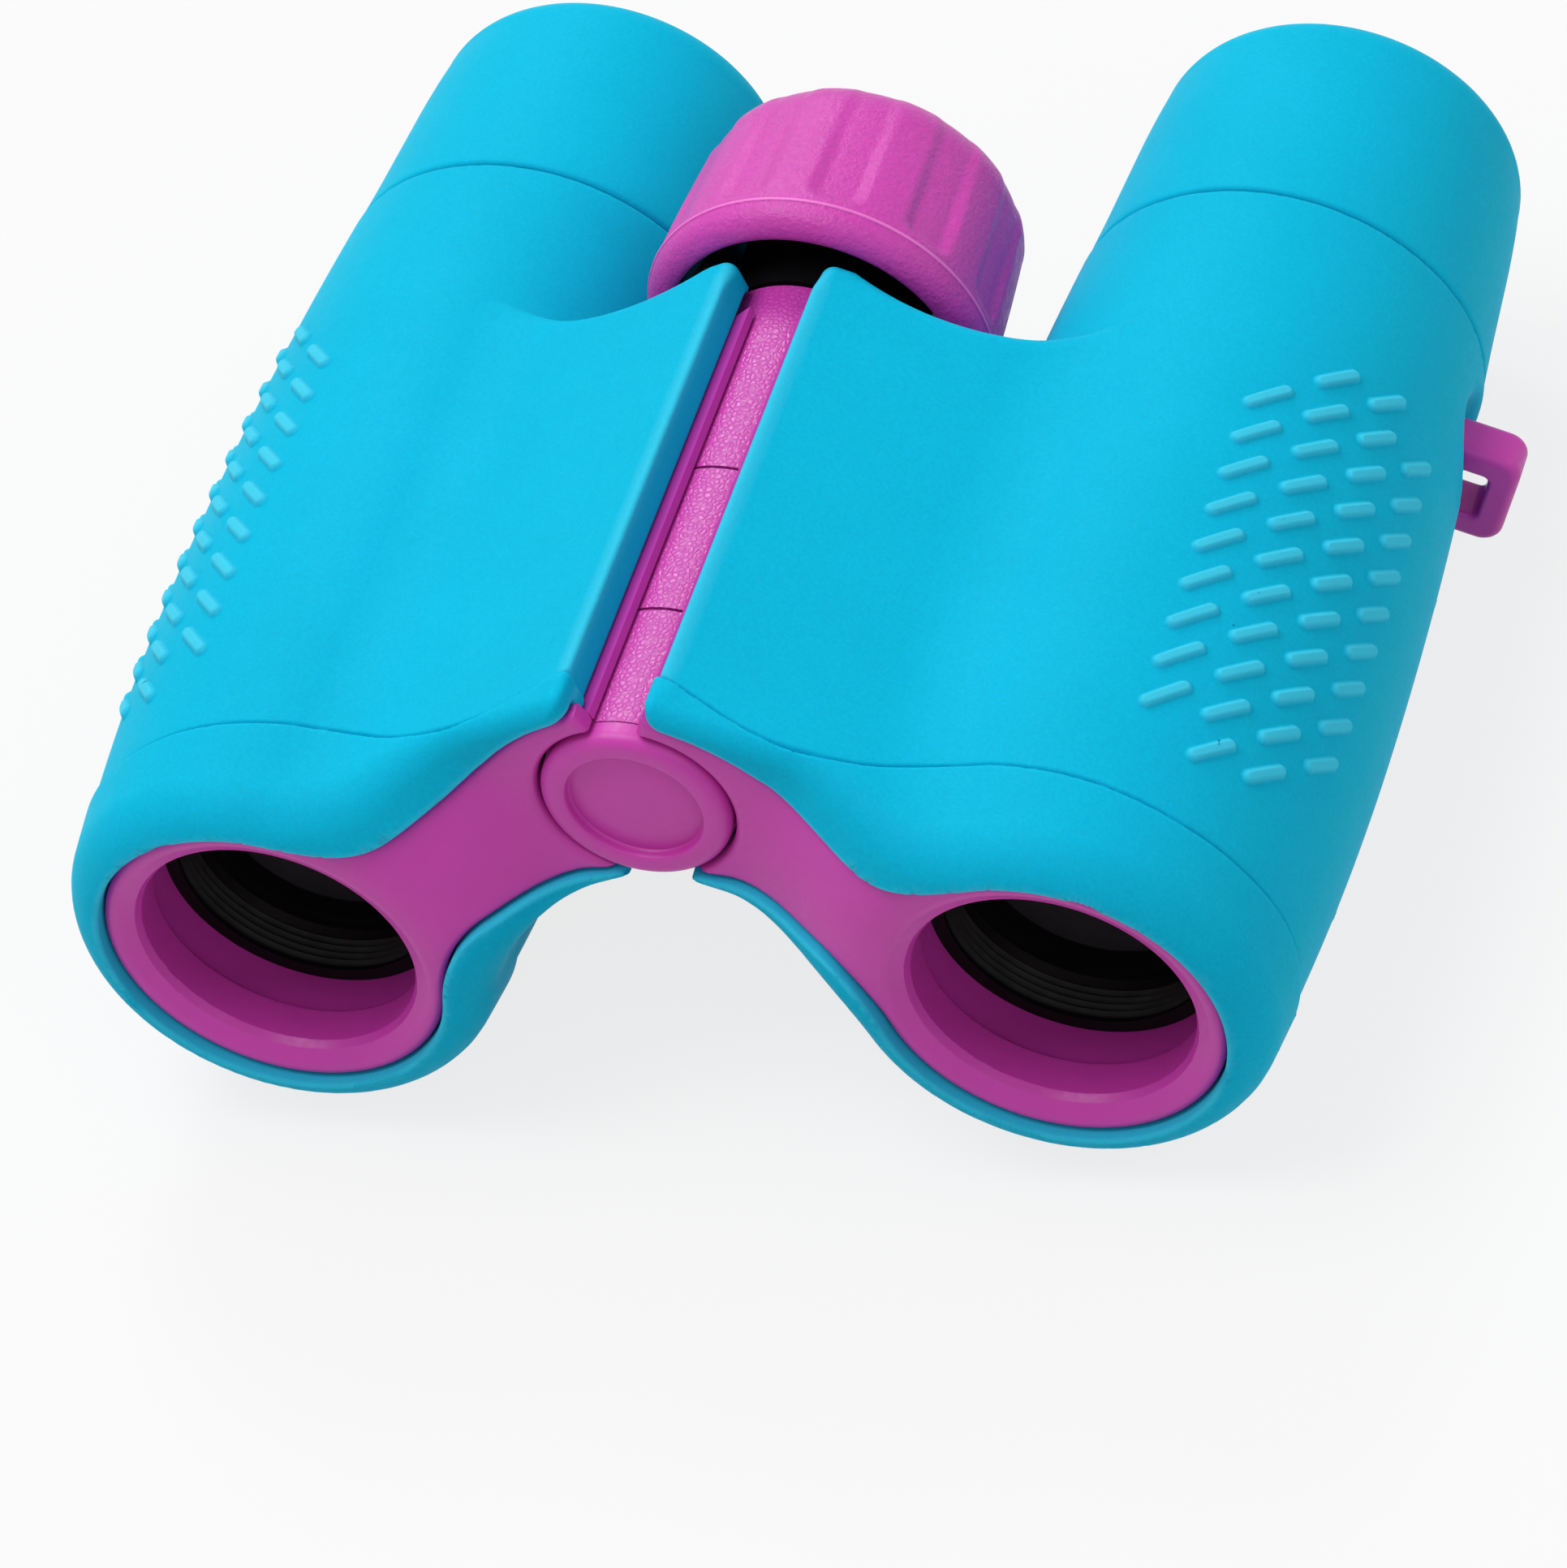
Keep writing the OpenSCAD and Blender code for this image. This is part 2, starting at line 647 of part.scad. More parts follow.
module armour(side) {
    dish = armour_r(lug_mid_z) + dish_r - dish_depth;
    lug_gap = 2 * side_gap;
    color(blue) half(side) difference() {
        union() {
            at_barrel() barrel_shell();
            intersection() {
                linear_extrude(total_len) wing_outline();
                behind_face(-armour_proud);
                difference() {
                    block(-far, hinge_to_barrel, -far, far, 0, total_len);
                    rear_hollow(0);
                }
            }
            grip_marks();
        }
        at_barrel() rod(armour_bore_r, tube_front_z, total_len);
        at_barrel() rod(lip_bore_r, -over, tube_front_z + seat_gap);
        web_block(seat_gap);
        translate([0, 0, -over]) linear_extrude(hinge_front_z + over) plate_outline(seat_gap);
        at_barrel() block(0, far, -lug_h / 2 - lug_gap, lug_h / 2 + lug_gap,
            lug_z - lug_gap, lug_z + lug_t + lug_gap);
        at_barrel(lug_mid_z) translate([dish, 0, 0]) sphere(dish_r);
    }
}

module eyecup(side) {
    front_r = seam_r - eyecup_step;
    rear_r = front_r - eyecup_taper;
    bore_r = neck_r + slide_clearance;
    bore_len = neck_len - seam_gap + end_gap;
    edge = min(eyecup_round, rear_r - eyecup_mouth_r - seat_gap);
    straight = eyecup_len - edge;
    color(blue) half(side) at_barrel(eyecup_z) rotate_extrude() polygon(concat(
        [[bore_r, bore_len], [bore_r, 0]],
        [for (i = [0 : curve_steps]) let (s = i / curve_steps)
            [front_r + (rear_r - front_r) * s, straight * s]],
        quarter([rear_r - edge, straight], edge, 0, 90),
        [[eyecup_mouth_r, eyecup_len], [eyecup_mouth_r, eyecup_len - eyecup_lip_t],
            [eyecup_inner_r, eyecup_len - eyecup_lip_t], [eyecup_inner_r, bore_len]]
    ));
}

module strap_lug(side) {
    color(magenta) half(side) at_barrel(lug_z) difference() {
        linear_extrude(lug_t) difference() {
            union() {
                translate([lug_foot + lug_len / 2, 0]) rounded_square(lug_len, lug_h, lug_round);
                translate([lug_foot - over, -lug_h / 2]) square([lug_len / 2 + over, lug_h]);
            }
            translate([lug_reach - lug_wall - lug_slot_w / 2, 0])
                rounded_square(lug_slot_w, lug_h - 2 * lug_wall, lug_round / 2);
        }
        rod(lug_foot, -over, lug_t + over);
    }
}

// Stack of sharp grooves that stops stray light, as outline points
function groove_points(r, z0, length, count) = [
    for (i = [0 : count - 1], p = [0, 1])
        let (step = length / (count + 1)) [r + p * baffle_groove, z0 + step * (i + (1 + p) / 2)]
];

module objective_cell(side) {
    arm_z = side == left ? carriage_z : right_arm_z;
    pocket_z = cell_z + baffle_len;
    seat_z = lens_z + crown_edge_t + flint_edge_t + 2 * seat_gap;
    color(black) half(side) difference() {
        at_barrel() rotate_extrude() polygon(concat(
            [[cell_r, cell_end_z], [cell_r, cell_z], [baffle_r, cell_z]],
            groove_points(baffle_r, cell_z, baffle_len, baffle_count),
            [[baffle_r, pocket_z], [lens_r + seat_gap, pocket_z], [lens_r + seat_gap, seat_z],
                [cell_bore_r, seat_z], [cell_bore_r, cell_end_z]]
        ));
        block(0, hinge_to_barrel - cell_r + arm_grip + seat_gap,
            -arm_h / 2 - seat_gap, arm_h / 2 + seat_gap,
            arm_z - seat_gap, arm_z + arm_w + seat_gap);
    }
}

module objective_retainer(side) {
    z = cell_z + baffle_len;
    color(black) half(side) at_barrel() ring(lens_r, cell_bore_r, z, z + retainer_t);
}

module objective_crown(side) {
    color(glass) half(side) at_barrel(lens_z) rotate_extrude() polygon(concat(
        [for (p = lens_face(lens_r, 0)) [p[0], -p[1]]],
        flip(lens_face(lens_r, crown_edge_t))
    ));
}

module objective_flint(side) {
    color(glass) half(side) at_barrel(lens_z + seat_gap) rotate_extrude() polygon(concat(
        [[0, crown_edge_t + flint_edge_t], [lens_r, crown_edge_t + flint_edge_t]],
        flip(lens_face(lens_r, crown_edge_t))
    ));
}

module prism_cage(side) {
    color(black) half(side) difference() {
        at_barrel() rod(cell_r, cage_z, cage_z + cage_len);
        at_barrel() block(-prism_w / 2 - seat_gap, prism_w / 2 + seat_gap,
            -prism_h - seat_gap, prism_h + seat_gap, cage_z - over, cage_z + cage_len + over);
    }
}

// A prism that fills the cage's width, from shares of the cage length and the half height
module prism(side, corner_shares, shift) {
    color(glass) half(side) at_barrel(cage_z) rotate([0, -90, 0])
        linear_extrude(prism_w, center = true) polygon([
            for (p = corner_shares) [p[0] * cage_len + shift, p[1] * prism_h]
        ]);
}

half_penta_shares = [[0.04, 1], [0.2, 1], [0.62, -1], [0.04, -1]];
roof_prism_shares = [[0.2, 1], [0.96, 1], [0.96, -1], [0.62, -1]];

module half_penta_prism(side) {
    prism(side, half_penta_shares, 0);
}

module roof_prism(side) {
    prism(side, roof_prism_shares, prism_gap);
}

module eyepiece_tube(side) {
    color(black) half(side) difference() {
        at_barrel() rod(cell_r, eyepiece_z, eyepiece_end_z);
        at_barrel() rod(eye_bore_r, eyepiece_z - over, total_len);
        at_barrel() rod(eye_lens_r + seat_gap, field_lens_z - eye_ring_gap, total_len);
    }
}

// A lens with both faces domed, its edge starting at z
module eyepiece_lens(side, z) {
    color(glass) half(side) at_barrel(z) rotate_extrude() polygon(concat(
        [for (p = lens_face(eye_lens_r, 0)) [p[0], -p[1]]],
        flip(lens_face(eye_lens_r, eye_lens_edge_t))
    ));
}

module field_lens(side) {
    eyepiece_lens(side, field_lens_z);
}

module eye_lens(side) {
    eyepiece_lens(side, eye_lens_z);
}

module eyepiece_spacer(side) {
    color(black) half(side) at_barrel()
        ring(eye_lens_r, eye_bore_r, spacer_z, spacer_z + spacer_len);
}

module eyepiece_retainer(side) {
    color(black) half(side) at_barrel()
        ring(eye_lens_r, eye_bore_r, eye_retainer_z, eye_retainer_z + retainer_t);
}

module hinge_axle() {
    slot_z = carriage_z + arm_w / 2;
    slot_reach = pin_r + focus_travel + end_gap;
    color(steel) half(left) difference() {
        ring(axle_r, axle_bore_r, axle_z, axle_end_z);
        block(-pin_r - slide_clearance, pin_r + slide_clearance, -far, far,
            slot_z - slot_reach, slot_z + slot_reach);
        ring(far, axle_r - clip_groove, clip_z, clip_z + clip_t);
    }
}

module hinge_screw() {
    color(steel) half(left) {
        rod(screw_head_r, hinge_front_z + seat_gap, axle_z - seat_gap);
        rod(rod_r, hinge_front_z + seat_gap, axle_z + screw_len);
    }
}

module hinge_cap() {
    color(magenta) half(left) translate([0, 0, cap_z]) rotate_extrude() polygon(concat(
        [[0, cap_t], [0, cap_recess], [cap_recess_r, cap_recess]],
        quarter([cap_r - cap_round, cap_round], cap_round, -90, 0),
        [[cap_r, cap_t]]
    ));
}

module hinge_washers() {
    color(black) half(left) {
        ring(washer_r, axle_seat_r, front_end_z - washer_t + 2 * side_gap, front_end_z + side_gap);
        ring(washer_r, axle_seat_r, rear_z - side_gap, rear_z + washer_t - 2 * side_gap);
    }
}

module knob_outline() {
    polygon(concat(
        [[0, 0], [knob_bore_r, 0]],
        quarter([knob_r - knob_bead, knob_bead], knob_bead, -90, 0),
        quarter([knob_rear_r - knob_round, knob_len - knob_round], knob_round, 0, 90),
        [[0, knob_len]]
    ));
}

module focus_knob() {
    flute_z = knob_z + knob_bead + flute_setback;
    color(magenta) lay_down() difference() {
        translate([0, 0, knob_z]) rotate_extrude() knob_outline();
        rod(knob_bore_r, knob_z - over, knob_back_z);
        rod(end_cap_r, knob_z, total_len);
        for (i = [0 : flute_count - 1]) rotate([0, 0, 90 + 180 * (2 * i + 1) / flute_count])
            translate([knob_r - flute_depth, 0, flute_z + flute_w / 2]) rotate([0, 90, 0])
                linear_extrude(knob_r) {
                    rounded_square(flute_w, flute_w, flute_round);
                    translate([-knob_len, -flute_w / 2]) square([knob_len, flute_w]);
                }
    }
}

module knob_hub() {
    color(black) lay_down() difference() {
        union() {
            rod(hub_r, hub_z, hub_end_z);
            rod(knob_bore_r - seat_gap, nut_z, hub_end_z);
            ring(knob_bore_r - seat_gap, knob_bore_r - hub_lining, knob_z + knob_bead, hub_end_z);
        }
        rod(axle_seat_r, hub_z - over, clip_z);
        rod(clip_r + end_gap, clip_z - side_gap, nut_z);
        rod(rod_r + slide_clearance, nut_z - over, total_len);
    }
}

module knob_end_cap() {
    color(magenta) lay_down() rod(end_cap_r - seat_gap, knob_end_z - end_cap_t, knob_end_z);
}

module knob_clip() {
    color(steel) lay_down()
        ring(clip_r, axle_r - clip_groove + seat_gap, clip_z + seat_gap, clip_z + clip_t - seat_gap);
}

module cross_pin_hole(r, reach) {
    translate([0, 0, carriage_z + arm_w / 2]) rotate([90, 0, 0])
        cylinder(r = r, h = 2 * reach, center = true);
}

module focus_rod() {
    color(steel) half(left) difference() {
        rod(rod_r, rod_z, rod_end_z);
        cross_pin_hole(pin_r + seat_gap, axle_r);
    }
}

module focus_cross_pin() {
    color(steel) half(left) cross_pin_hole(pin_r, carriage_r - 2 * side_gap);
}

module focus_carriage() {
    color(black) half(left) difference() {
        union() {
            rod(carriage_r, carriage_z, carriage_z + arm_w);
            rod(sleeve_r, carriage_z, flange_z + flange_t);
            rod(carriage_r, flange_z, flange_z + flange_t);
            block(0, hinge_to_barrel - cell_r + arm_grip, -arm_h / 2, arm_h / 2,
                carriage_z, carriage_z + arm_w);
        }
        rod(axle_seat_r, 0, total_len);
        cross_pin_hole(pin_r + seat_gap, far);
    }
}

module right_focus_arm() {
    color(black) half(right) difference() {
        union() {
            rod(carriage_r, right_arm_z, right_arm_z + arm_w);
            block(0, hinge_to_barrel - cell_r + arm_grip, -arm_h / 2, arm_h / 2,
                right_arm_z, right_arm_z + arm_w);
        }
        rod(sleeve_r + slide_clearance, 0, total_len);
    }
}

frame(left);  // left_frame
frame(right);  // right_frame
front_plate(left);  // left_front_plate
front_plate(right);  // right_front_plate
armour(left);  // left_armour
armour(right);  // right_armour
eyecup(left);  // left_eyecup
eyecup(right);  // right_eyecup
strap_lug(left);  // left_strap_lug
strap_lug(right);  // right_strap_lug
objective_cell(left);  // left_objective_cell
objective_cell(right);  // right_objective_cell
objective_crown(left);  // left_objective_crown
objective_crown(right);  // right_objective_crown
objective_flint(left);  // left_objective_flint
objective_flint(right);  // right_objective_flint
objective_retainer(left);  // left_objective_retainer
objective_retainer(right);  // right_objective_retainer
prism_cage(left);  // left_prism_cage
prism_cage(right);  // right_prism_cage
roof_prism(left);  // left_roof_prism
roof_prism(right);  // right_roof_prism
half_penta_prism(left);  // left_half_penta_prism
half_penta_prism(right);  // right_half_penta_prism
eyepiece_tube(left);  // left_eyepiece_tube
eyepiece_tube(right);  // right_eyepiece_tube
field_lens(left);  // left_field_lens
field_lens(right);  // right_field_lens
eyepiece_spacer(left);  // left_eyepiece_spacer
eyepiece_spacer(right);  // right_eyepiece_spacer
eye_lens(left);  // left_eye_lens
eye_lens(right);  // right_eye_lens
eyepiece_retainer(left);  // left_eyepiece_retainer
eyepiece_retainer(right);  // right_eyepiece_retainer
hinge_axle();
hinge_screw();
hinge_cap();
hinge_washers();
focus_knob();
knob_hub();
knob_end_cap();
knob_clip();
focus_rod();
focus_cross_pin();
focus_carriage();
right_focus_arm();
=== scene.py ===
import math

import bmesh
import bpy
import numpy as np
from mathutils import Matrix, Vector


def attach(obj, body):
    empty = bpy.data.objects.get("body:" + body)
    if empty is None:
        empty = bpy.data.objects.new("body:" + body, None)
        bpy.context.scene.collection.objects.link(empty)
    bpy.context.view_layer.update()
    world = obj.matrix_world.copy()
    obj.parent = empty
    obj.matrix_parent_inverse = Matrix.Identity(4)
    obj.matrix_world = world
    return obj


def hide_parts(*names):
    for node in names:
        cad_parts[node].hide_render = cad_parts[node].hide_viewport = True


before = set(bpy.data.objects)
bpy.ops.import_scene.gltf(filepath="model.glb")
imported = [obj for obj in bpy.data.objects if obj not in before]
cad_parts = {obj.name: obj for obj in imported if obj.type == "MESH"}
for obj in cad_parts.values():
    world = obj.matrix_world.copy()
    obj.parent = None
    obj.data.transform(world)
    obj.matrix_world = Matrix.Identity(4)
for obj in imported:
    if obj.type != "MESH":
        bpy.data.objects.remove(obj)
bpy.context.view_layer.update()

# Main sizes in millimetres, in each half's own frame: x from hinge to barrel, y up, z from the lip
SPACING = 36.0
FOLD = math.radians(23.3)
TOTAL = 99.4
HINGE_H = 33.6496
BORE_R = 14.81
FRONT_R = 17.21
BELLY_R = 19.41
SEAM_R = 17.51
BELLY_Z = 33.6
ARMOUR_LEN = 75.1
RING_R = 14.4
MOUTH_R = 11.6
RING_Z = 0.6
LIP_BORE_R = 14.56
FACE_R = 14.4
FACE_END_R = 28.08
PLATE_HINGE_Z = 6.55
PLATE_BACK = 8.25
PLATE_BLEND = 4.8
PLATE_GAP = 0.16
CAP_HOLE_R = 8.22
HINGE_R = 8.0
HINGE_CLEAR_R = 8.6
ARMOUR_HINGE_Z = 6.25
WING_TOP = 12.2
WING_LOW = 6.5
WALL_SLOPE = (0.9776, 0.2105)
RIDGE_X = -1.06
WING_FILLET = 14.0
FILL_DEPTH = 5.0
BAND_STEP = 0.34
GROOVE_DEPTH = 0.4
HOLLOW_R = 21.8
HOLLOW_X = 10.6
HOLLOW_Z = 77.3
WING_END = 57.3
LUG_T = 3.95
LUG_MID = 68.1
LUG_Y = -0.55
LUG_HALF = 3.15
LUG_OUT = 20.5
LUG_CORNER = 1.9
LUG_ROOT_R = 14.83
DISH_R = 8.5
DISH_OUT = 5.6
MM = 0.001
FAR = 9.0


def smooth(t):
    t = np.clip(t, 0.0, 1.0)
    return t * t * (3.0 - 2.0 * t)


def union_round(a, b, r):
    return np.maximum(r, np.minimum(a, b)) - np.hypot(np.maximum(r - a, 0), np.maximum(r - b, 0))


def cut_round(a, b, r):
    return np.minimum(-r, np.maximum(a, b)) + np.hypot(np.maximum(r + a, 0), np.maximum(r + b, 0))


def to_row(p, side):
    """Half-frame millimetres to the row frame in metres."""
    c, s = math.cos(FOLD), math.sin(FOLD)
    x = p[:, 0] * c + p[:, 1] * s
    up = p[:, 1] * c - p[:, 0] * s
    return np.column_stack([side * x, p[:, 2] - TOTAL / 2, HINGE_H + up]) * MM


def add_mesh(name, points, faces, body, material, replaces, normals=None, sharp=None):
    mesh = bpy.data.meshes.new(name)
    mesh.from_pydata(points.tolist(), [], [tuple(f) for f in faces])
    mesh.polygons.foreach_set("use_smooth", np.ones(len(mesh.polygons), bool))
    if normals is not None:
        mesh.normals_split_custom_set_from_vertices(normals.tolist())
    if sharp is not None:
        mesh.set_sharp_from_angle(angle=math.radians(sharp))
    mesh.update()
    piece = bpy.data.objects.new(name, mesh)
    bpy.context.scene.collection.objects.link(piece)
    mesh.materials.append(material)
    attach(piece, body)
    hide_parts(replaces)
    return piece


# Surfaces from fields


def gradient(field, p, step=0.004):
    g = np.empty_like(p)
    for k in range(3):
        d = np.zeros(3)
        d[k] = step
        g[:, k] = (field(*(p + d).T) - field(*(p - d).T)) / (2 * step)
    return g


def unit_normals(field, p):
    n = gradient(field, p)
    return n / np.maximum(np.linalg.norm(n, axis=1), 1e-9)[:, None]


def project(field, p, rounds, limit=0.5):
    """Moves points onto the zero surface, by no more than the limit in each round."""
    for _ in range(rounds):
        g = gradient(field, p)
        n2 = np.maximum((g * g).sum(1), 0.05)
        move = g * (field(*p.T) / n2)[:, None]
        size = np.linalg.norm(move, axis=1)
        p = p - move * np.minimum(1.0, limit / np.maximum(size, 1e-9))[:, None]
    return p


def surface_net(field, low, high, cell):
    """A quad mesh of the zero surface of a field, inside a box."""
    axes = [np.arange(lo, hi + cell, cell) for lo, hi in zip(low, high)]
    shape = tuple(len(a) for a in axes)
    f = np.empty(shape)
    for i, x in enumerate(axes[0]):
        yy, zz = np.meshgrid(axes[1], axes[2], indexing="ij")
        f[i] = field(np.full_like(yy, x), yy, zz)
    cells = tuple(n - 1 for n in shape)
    total = np.zeros(cells + (3,))
    count = np.zeros(cells)
    corner = np.stack(np.meshgrid(*[np.arange(n) for n in cells], indexing="ij"), -1)
    offsets = [(a, b, c) for a in (0, 1) for b in (0, 1) for c in (0, 1)]

    def part(o):
        return f[o[0]:o[0] + cells[0], o[1]:o[1] + cells[1], o[2]:o[2] + cells[2]]

    for o in offsets:
        for k in range(3):
            if o[k]:
                continue
            e = list(o)
            e[k] = 1
            fa, fb = part(o), part(e)
            cross = (fa < 0) != (fb < 0)
            t = np.where(cross, fa / np.where(fa == fb, 1, fa - fb), 0)
            place = np.array(o, float) + corner
            for axis in range(3):
                add = t if axis == k else 0.0
                total[..., axis] += np.where(cross, place[..., axis] + add, 0)
            count += cross
    used = count > 0
    number = -np.ones(cells, int)
    number[used] = np.arange(used.sum())
    points = total[used] / count[used][:, None]
    for axis in range(3):
        points[:, axis] = axes[axis][0] + cell * points[:, axis]
    faces = []
    for k in range(3):
        a, b = [axis for axis in range(3) if axis != k]
        inner = [slice(1, n - 1) for n in shape]
        inner[k] = slice(0, shape[k] - 1)
        ahead = list(inner)
        ahead[k] = slice(1, shape[k])
        fa, fb = f[tuple(inner)], f[tuple(ahead)]
        where = np.argwhere((fa < 0) != (fb < 0))
        start = np.array([s.start for s in inner])
        for index in where:
            out = fa[tuple(index)] < 0
            i = index + start
            ids = []
            for da, db in ((-1, -1), (0, -1), (0, 0), (-1, 0)):
                j = i.copy()
                j[a] += da
                j[b] += db
                ids.append(number[tuple(j)])
            if out == (k == 1):
                ids.reverse()
            faces.append(ids)
    return points, faces


def relax(field, p, faces, rounds):
    """Evens out a mesh of quads, and keeps its points on the surface."""
    quads = np.array(faces)
    ids = np.concatenate([quads[:, [0, 1]], quads[:, [1, 2]], quads[:, [2, 3]], quads[:, [3, 0]]])
    ids = np.concatenate([ids, ids[:, ::-1]])
    for _ in range(rounds):
        total = np.zeros_like(p)
        count = np.zeros(len(p))
        np.add.at(total, ids[:, 0], p[ids[:, 1]])
        np.add.at(count, ids[:, 0], 1)
        p = p + 0.5 * (total / count[:, None] - p)
        p = project(field, p, 2)
    return p


def refine(field, p, faces, fine, levels, angle):
    """Splits the faces near fine detail, and puts the new points on the surface."""
    for level in range(levels):
        n = unit_normals(field, p)
        bm = bmesh.new()
        verts = [bm.verts.new(q) for q in p]
        for face in faces:
            try:
                bm.faces.new([verts[i] for i in face])
            except ValueError:
                continue
        bm.verts.index_update()
        wanted = fine(p, level)
        limit = math.cos(math.radians(angle))
        edges = []
        for e in bm.edges:
            i, j = e.verts[0].index, e.verts[1].index
            if (wanted[i] and wanted[j]) or (level < 2 and n[i] @ n[j] < limit):
                edges.append(e)
        bmesh.ops.subdivide_edges(bm, edges=edges, cuts=1, use_grid_fill=True)
        bm.verts.index_update()
        p = np.array([v.co[:] for v in bm.verts])
        faces = [[v.index for v in face.verts] for face in bm.faces]
        bm.free()
        p = project(field, p, 3)
    return p, faces


def even_out(field, p, faces, zone, rounds):
    """Slides the points of a zone towards their neighbours, along the surface."""
    pairs = set()
    for face in faces:
        for i, j in zip(face, face[1:] + face[:1]):
            if zone[i] or zone[j]:
                pairs.add((i, j))
                pairs.add((j, i))
    ids = np.array(sorted(pairs))
    for _ in range(rounds):
        total = np.zeros_like(p)
        count = np.zeros(len(p))
        np.add.at(total, ids[:, 0], p[ids[:, 1]])
        np.add.at(count, ids[:, 0], 1)
        moved = p[zone] + 0.5 * (total[zone] / count[zone][:, None] - p[zone])
        p[zone] = project(field, moved, 3)
    return p


def askew_points(p, faces, n):
    """Marks the points of faces that lean far from the surface's own normals."""
    bad = np.zeros(len(p), bool)
    for corners in {len(face) for face in faces}:
        ids = np.array([face for face in faces if len(face) == corners])
        flat = np.zeros((len(ids), 3))
        for k in range(1, corners - 1):
            flat += np.cross(p[ids[:, k]] - p[ids[:, 0]], p[ids[:, k + 1]] - p[ids[:, 0]])
        flat /= np.maximum(np.linalg.norm(flat, axis=1), 1e-12)[:, None]
        agree = (flat * n[ids].mean(1)).sum(1)
        bad[ids[agree * np.sign(np.median(agree)) < 0.5].ravel()] = True
    return bad


def field_mesh(field, low, high, cell, fine, levels, angle, zone=None):
    """Points, faces and normals of a field's surface, finer where asked and even in a zone."""
    p, faces = surface_net(field, low, high, cell)
    p = project(field, p, 4)
    p = relax(field, p, faces, 3)
    p, faces = refine(field, p, faces, fine, levels, angle)
    if zone:
        p = even_out(field, p, faces, zone(p), 14)
    n = unit_normals(field, p)
    askew = askew_points(p, faces, n)
    if askew.any():
        p = even_out(field, p, faces, askew, 6)
        n[askew] = unit_normals(field, p[askew])
    return p, faces, n


def add_field(name, data, side, body, material, replaces, painted_highlight=None):
    p, faces, n = data
    if side > 0:
        faces = [f[::-1] for f in faces]
    row = to_row(p, side)
    turned = to_row(n + np.array([0, 0, TOTAL / 2]), side) / MM
    turned[:, 2] -= HINGE_H
    piece = add_mesh(name, row, faces, body, material, replaces, normals=turned)
    if painted_highlight is not None:
        # The attribute holds the painted highlight on the grip marks, ridges and lip rim
        layer = piece.data.attributes.new("painted_highlight", "FLOAT", "POINT")
        layer.data.foreach_set("value", painted_highlight(p).astype(np.float32))
    return piece


# Soft armour


def armour_r(z):
    front = BELLY_R - (BELLY_R - FRONT_R) * ((BELLY_Z - z) / BELLY_Z) ** 2
    rear = BELLY_R - (BELLY_R - SEAM_R) * ((z - BELLY_Z) / (ARMOUR_LEN - BELLY_Z)) ** 2
    return np.where(z < BELLY_Z, front, rear)


def soft_table(xs, ys, low, high, window):
    """A table resampled every tenth of a millimetre, with its corners smoothed."""
    fine = np.arange(low, high, 0.1)
    weights = np.hanning(window)
    flat = np.pad(np.interp(fine, xs, ys), window // 2, mode="edge")
    return fine, np.convolve(flat, weights / weights.sum(), mode="valid")


EDGE_X = [-2, 1, 3, 5, 7, 9, 11, 13, 15, 17, 19]
PLATE_X, PLATE_TOP = soft_table(
    EDGE_X, [10.3, 10.25, 10.15, 9.8, 9.25, 8.5, 7.85, 7.4, 7.2, 7.1, 7.1], -2, 30, 21)
PLATE_LOW = soft_table(
    EDGE_X, [6.1, 6.1, 6.1, 6.0, 5.5, 4.9, 4.45, 4.05, 3.85, 3.75, 3.75], -2, 30, 21)[1]


def plate_edges(x, y):
    """Signed distance in the front plate's plane, without its bore."""
    top = np.interp(x, PLATE_X, PLATE_TOP)
    bottom = -np.interp(x, PLATE_X, PLATE_LOW)
    low_side = np.where(y > 0, -1.4 - x, -x)
    strip = np.maximum(np.maximum(y - top, bottom - y), np.maximum(low_side, x - SPACING))
    strip = np.maximum(strip, CAP_HOLE_R - np.hypot(x, y))
    return union_round(strip, np.hypot(x - SPACING, y) - RING_R, PLATE_BLEND)


def face_rise(x, y):
    """How far the front face lies behind the ring, on the hinge side of the barrel."""
    r = np.hypot(x - SPACING, y)
    return smooth((r - FACE_R) / (FACE_END_R - FACE_R))


LINE_X = [-2, -1.1, 0.5, 1.7, 4.6, 7, 10, 13, 16, 20, 22.5, 25, 28, 34, 36, 41, 47, 52, 60]
LINE_Z = [10.0, 9.9, 9.5, 9.1, 8.1, 7.4, 7.1, 7.3, 7.8, 9.1, 9.6, 9.7, 9.3, 8.8, 8.6, 8.2, 8.1,
          8.3, 8.3]
BAND_X, BAND_Z = soft_table(LINE_X, LINE_Z, -2, 60, 31)
BAND_LOW_Z = 8.3


def band_edge(x, y):
    """Where the front band's step lies: a wavy line on top and a level one below."""
    top = np.interp(x, BAND_X, BAND_Z)
    return BAND_LOW_Z + (top - BAND_LOW_Z) * smooth((y + 1.0) / 3.0)


# Grip marks, as the angle around the barrel and the place along it
MARK_FIRST, MARK_TURN = 87.6, 14.9
MARK_MID, MARK_SHIFT, MARK_PITCH = 35.4, 1.05, 4.1
MARK_SKIN_R = 19.2
MARK_HALF = 1.75
MARK_H = 0.46
MARK_R, MARK_EDGE = 0.8, 0.55
MARKS = []
for column, count in enumerate([9, 11, 11, 9]):
    for i in range(count):
        along = (i - (count - 1) / 2) * MARK_PITCH
        MARKS.append((MARK_FIRST - MARK_TURN * column, MARK_MID + MARK_SHIFT * column + along))


